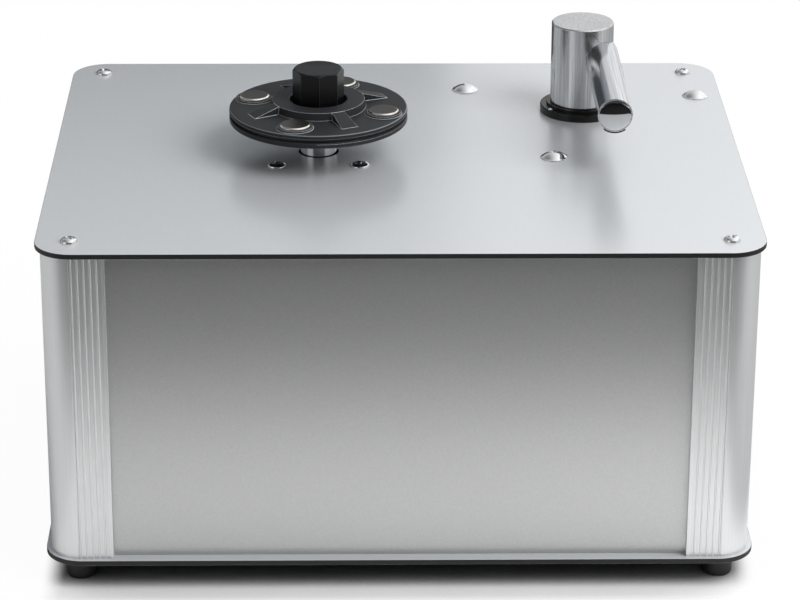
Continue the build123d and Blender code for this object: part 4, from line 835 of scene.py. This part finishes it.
def makeFloor():
    bpy.ops.mesh.primitive_plane_add(size=stage["floorSize"], location=(0, 0, 0))
    floor = bpy.context.object
    floor.name = "studioFloor"
    material, tree = newMaterial("paperFloor")
    coords = addNode(tree, "TexCoord")
    noise = addNode(tree, "TexNoise", Vector=coords.outputs["Object"], Scale=40.0)
    dull, clean = stage["floorColours"]
    tone = addNode(tree, "ValToRGB", {"stops": [(0.3, fromHex(dull)), (0.7, fromHex(clean))]},
                   Fac=noise.outputs["Fac"])
    # painted shade: occlusion darkens the paper's colour where the floor meets the machine
    paintedContactShade = addNode(tree, "AmbientOcclusion", {"samples": 8},
                     Color=tone.outputs[0], Distance=stage["corner"])
    paper = addNode(tree, "BsdfPrincipled", Base_Color=paintedContactShade.outputs["Color"],
                    Roughness=0.9, Specular_IOR_Level=0.0)
    white = addNode(tree, "Emission", Strength=1.0)
    # how far outside the case's footprint
    outside = addNode(tree, "VectorMath", {"operation": "ABSOLUTE"}, _0=coords.outputs["Object"])
    past = addNode(tree, "VectorMath", {"operation": "SUBTRACT"},
                   _0=outside.outputs[0], _1=(*stage["caseHalf"], 0))
    clear = addNode(tree, "VectorMath", {"operation": "MAXIMUM"}, _0=past.outputs[0], _1=(0, 0, 0))
    far = addNode(tree, "VectorMath", {"operation": "LENGTH"}, _0=clear.outputs[0])
    near, wide = stage["glow"]
    whiter = addNode(tree, "MapRange", {"interpolation_type": "SMOOTHSTEP"},
                     Value=far.outputs["Value"], From_Min=near, From_Max=wide,
                     To_Max=stage["white"])
    path = addNode(tree, "LightPath")
    share = addNode(tree, "Math", {"operation": "MULTIPLY"},
                    _0=path.outputs["Is Camera Ray"], _1=whiter.outputs[0])
    mixed = addNode(tree, "MixShader",
                    Fac=share.outputs[0], _1=paper.outputs[0], _2=white.outputs[0])
    addNode(tree, "OutputMaterial", Surface=mixed.outputs[0])
    floor.data.materials.append(material)


def addCard(name, middle, size, turn, material):
    # a flat panel that nothing but a reflection sees
    bpy.ops.mesh.primitive_plane_add(size=1, location=middle,
                                     rotation=[math.radians(a) for a in turn])
    card = bpy.context.object
    card.name = name
    card.scale = (*size, 1)
    fixPlace()
    card.data.materials.append(material)
    card.visible_camera = card.visible_diffuse = False
    card.visible_shadow = card.visible_transmission = False


def makeCards():
    # a studio's flags: they darken the upper part of the front panel and the deck's left, and grey
    # what the corner profiles mirror at their sides
    fadeFrom, fadeTo = stage["cardFade"]
    for name, (middle, size, tilt, greys) in stage["cards"].items():
        material, tree = newMaterial(name)
        coords = addNode(tree, "TexCoord")
        height = addNode(tree, "SeparateXYZ", Vector=coords.outputs["Object"])
        rise = addNode(tree, "MapRange", Value=height.outputs[2],
                       From_Min=fadeFrom, From_Max=fadeTo)
        stops = [(place, fromHex(grey)) for place, grey in enumerate(greys)]
        tone = addNode(tree, "ValToRGB", {"stops": stops}, Fac=rise.outputs[0])
        board = addNode(tree, "BsdfPrincipled", Base_Color=tone.outputs[0],
                        Roughness=0.9, Specular_IOR_Level=0.0)
        addNode(tree, "OutputMaterial", Surface=board.outputs[0])
        addCard(name, middle, size, (tilt, 0, 0), material)


def makeSoftBox():
    # the bright patch that the screws, the bolts and the tube mirror at their right
    box = stage["softBox"]
    material, tree = newMaterial("litDiffuser")
    light = addNode(tree, "Emission", Color=(1, 1, 1, 1), Strength=box["bright"])
    addNode(tree, "OutputMaterial", Surface=light.outputs[0])
    addCard("softBox", box["middle"], box["size"], box["turn"], material)


def makeRoom():
    world = bpy.data.worlds.new("studioRoom")
    scene.world = world
    world.use_nodes = True
    tree = world.node_tree
    tree.nodes.clear()
    coords = addNode(tree, "TexCoord")
    way = addNode(tree, "SeparateXYZ", Vector=coords.outputs["Generated"])
    forward = addNode(tree, "Math", {"operation": "MULTIPLY"}, _0=way.outputs[1], _1=-1.0)
    turn = addNode(tree, "Math", {"operation": "ARCTAN2"}, _0=way.outputs[0], _1=forward.outputs[0])
    place = addNode(tree, "MapRange", Value=turn.outputs[0], From_Min=-math.pi, From_Max=math.pi)
    stops = [((angle + 180) / 360, (bright, bright, bright, 1))
             for angle, bright in stage["around"]]
    level = addNode(tree, "ValToRGB", {"stops": stops}, Fac=place.outputs[0])
    left, right = stage["above"]
    across = stage["aboveAcross"]
    overhead = addNode(tree, "MapRange", {"interpolation_type": "SMOOTHSTEP"},
                       Value=way.outputs[0], From_Min=-across, From_Max=across,
                       To_Min=left, To_Max=right)
    begins, rules = stage["aboveFrom"]
    high = addNode(tree, "MapRange", {"interpolation_type": "SMOOTHSTEP"},
                   Value=way.outputs[2], From_Min=begins, From_Max=rules)
    lit = addNode(tree, "Mix", _0=high.outputs[0], _2=level.outputs[0], _3=overhead.outputs[0])
    path = addNode(tree, "LightPath")
    seen = addNode(tree, "Mix", _0=path.outputs["Is Camera Ray"], _2=lit.outputs[0], _3=1.0)
    back = addNode(tree, "Background", Color=(1, 1, 1, 1), Strength=seen.outputs[0])
    addNode(tree, "OutputWorld", Surface=back.outputs[0])


def makeLamp():
    d = stage["lamp"]
    bpy.ops.object.light_add(type="AREA", location=d["place"])
    lamp = bpy.context.object
    lamp.name = "keyLamp"
    beam = Vector(d["target"]) - Vector(d["place"])
    lamp.rotation_euler = beam.to_track_quat("-Z", "Y").to_euler()
    lamp.data.shape = "RECTANGLE"
    lamp.data.size, lamp.data.size_y = d["size"]
    lamp.data.energy = d["power"]
    lamp.visible_glossy = False    # metal mirrors the room and the cards alone, so nothing clips


makeFloor()
makeCards()
makeSoftBox()
makeRoom()
makeLamp()
print("stage and lamp set")
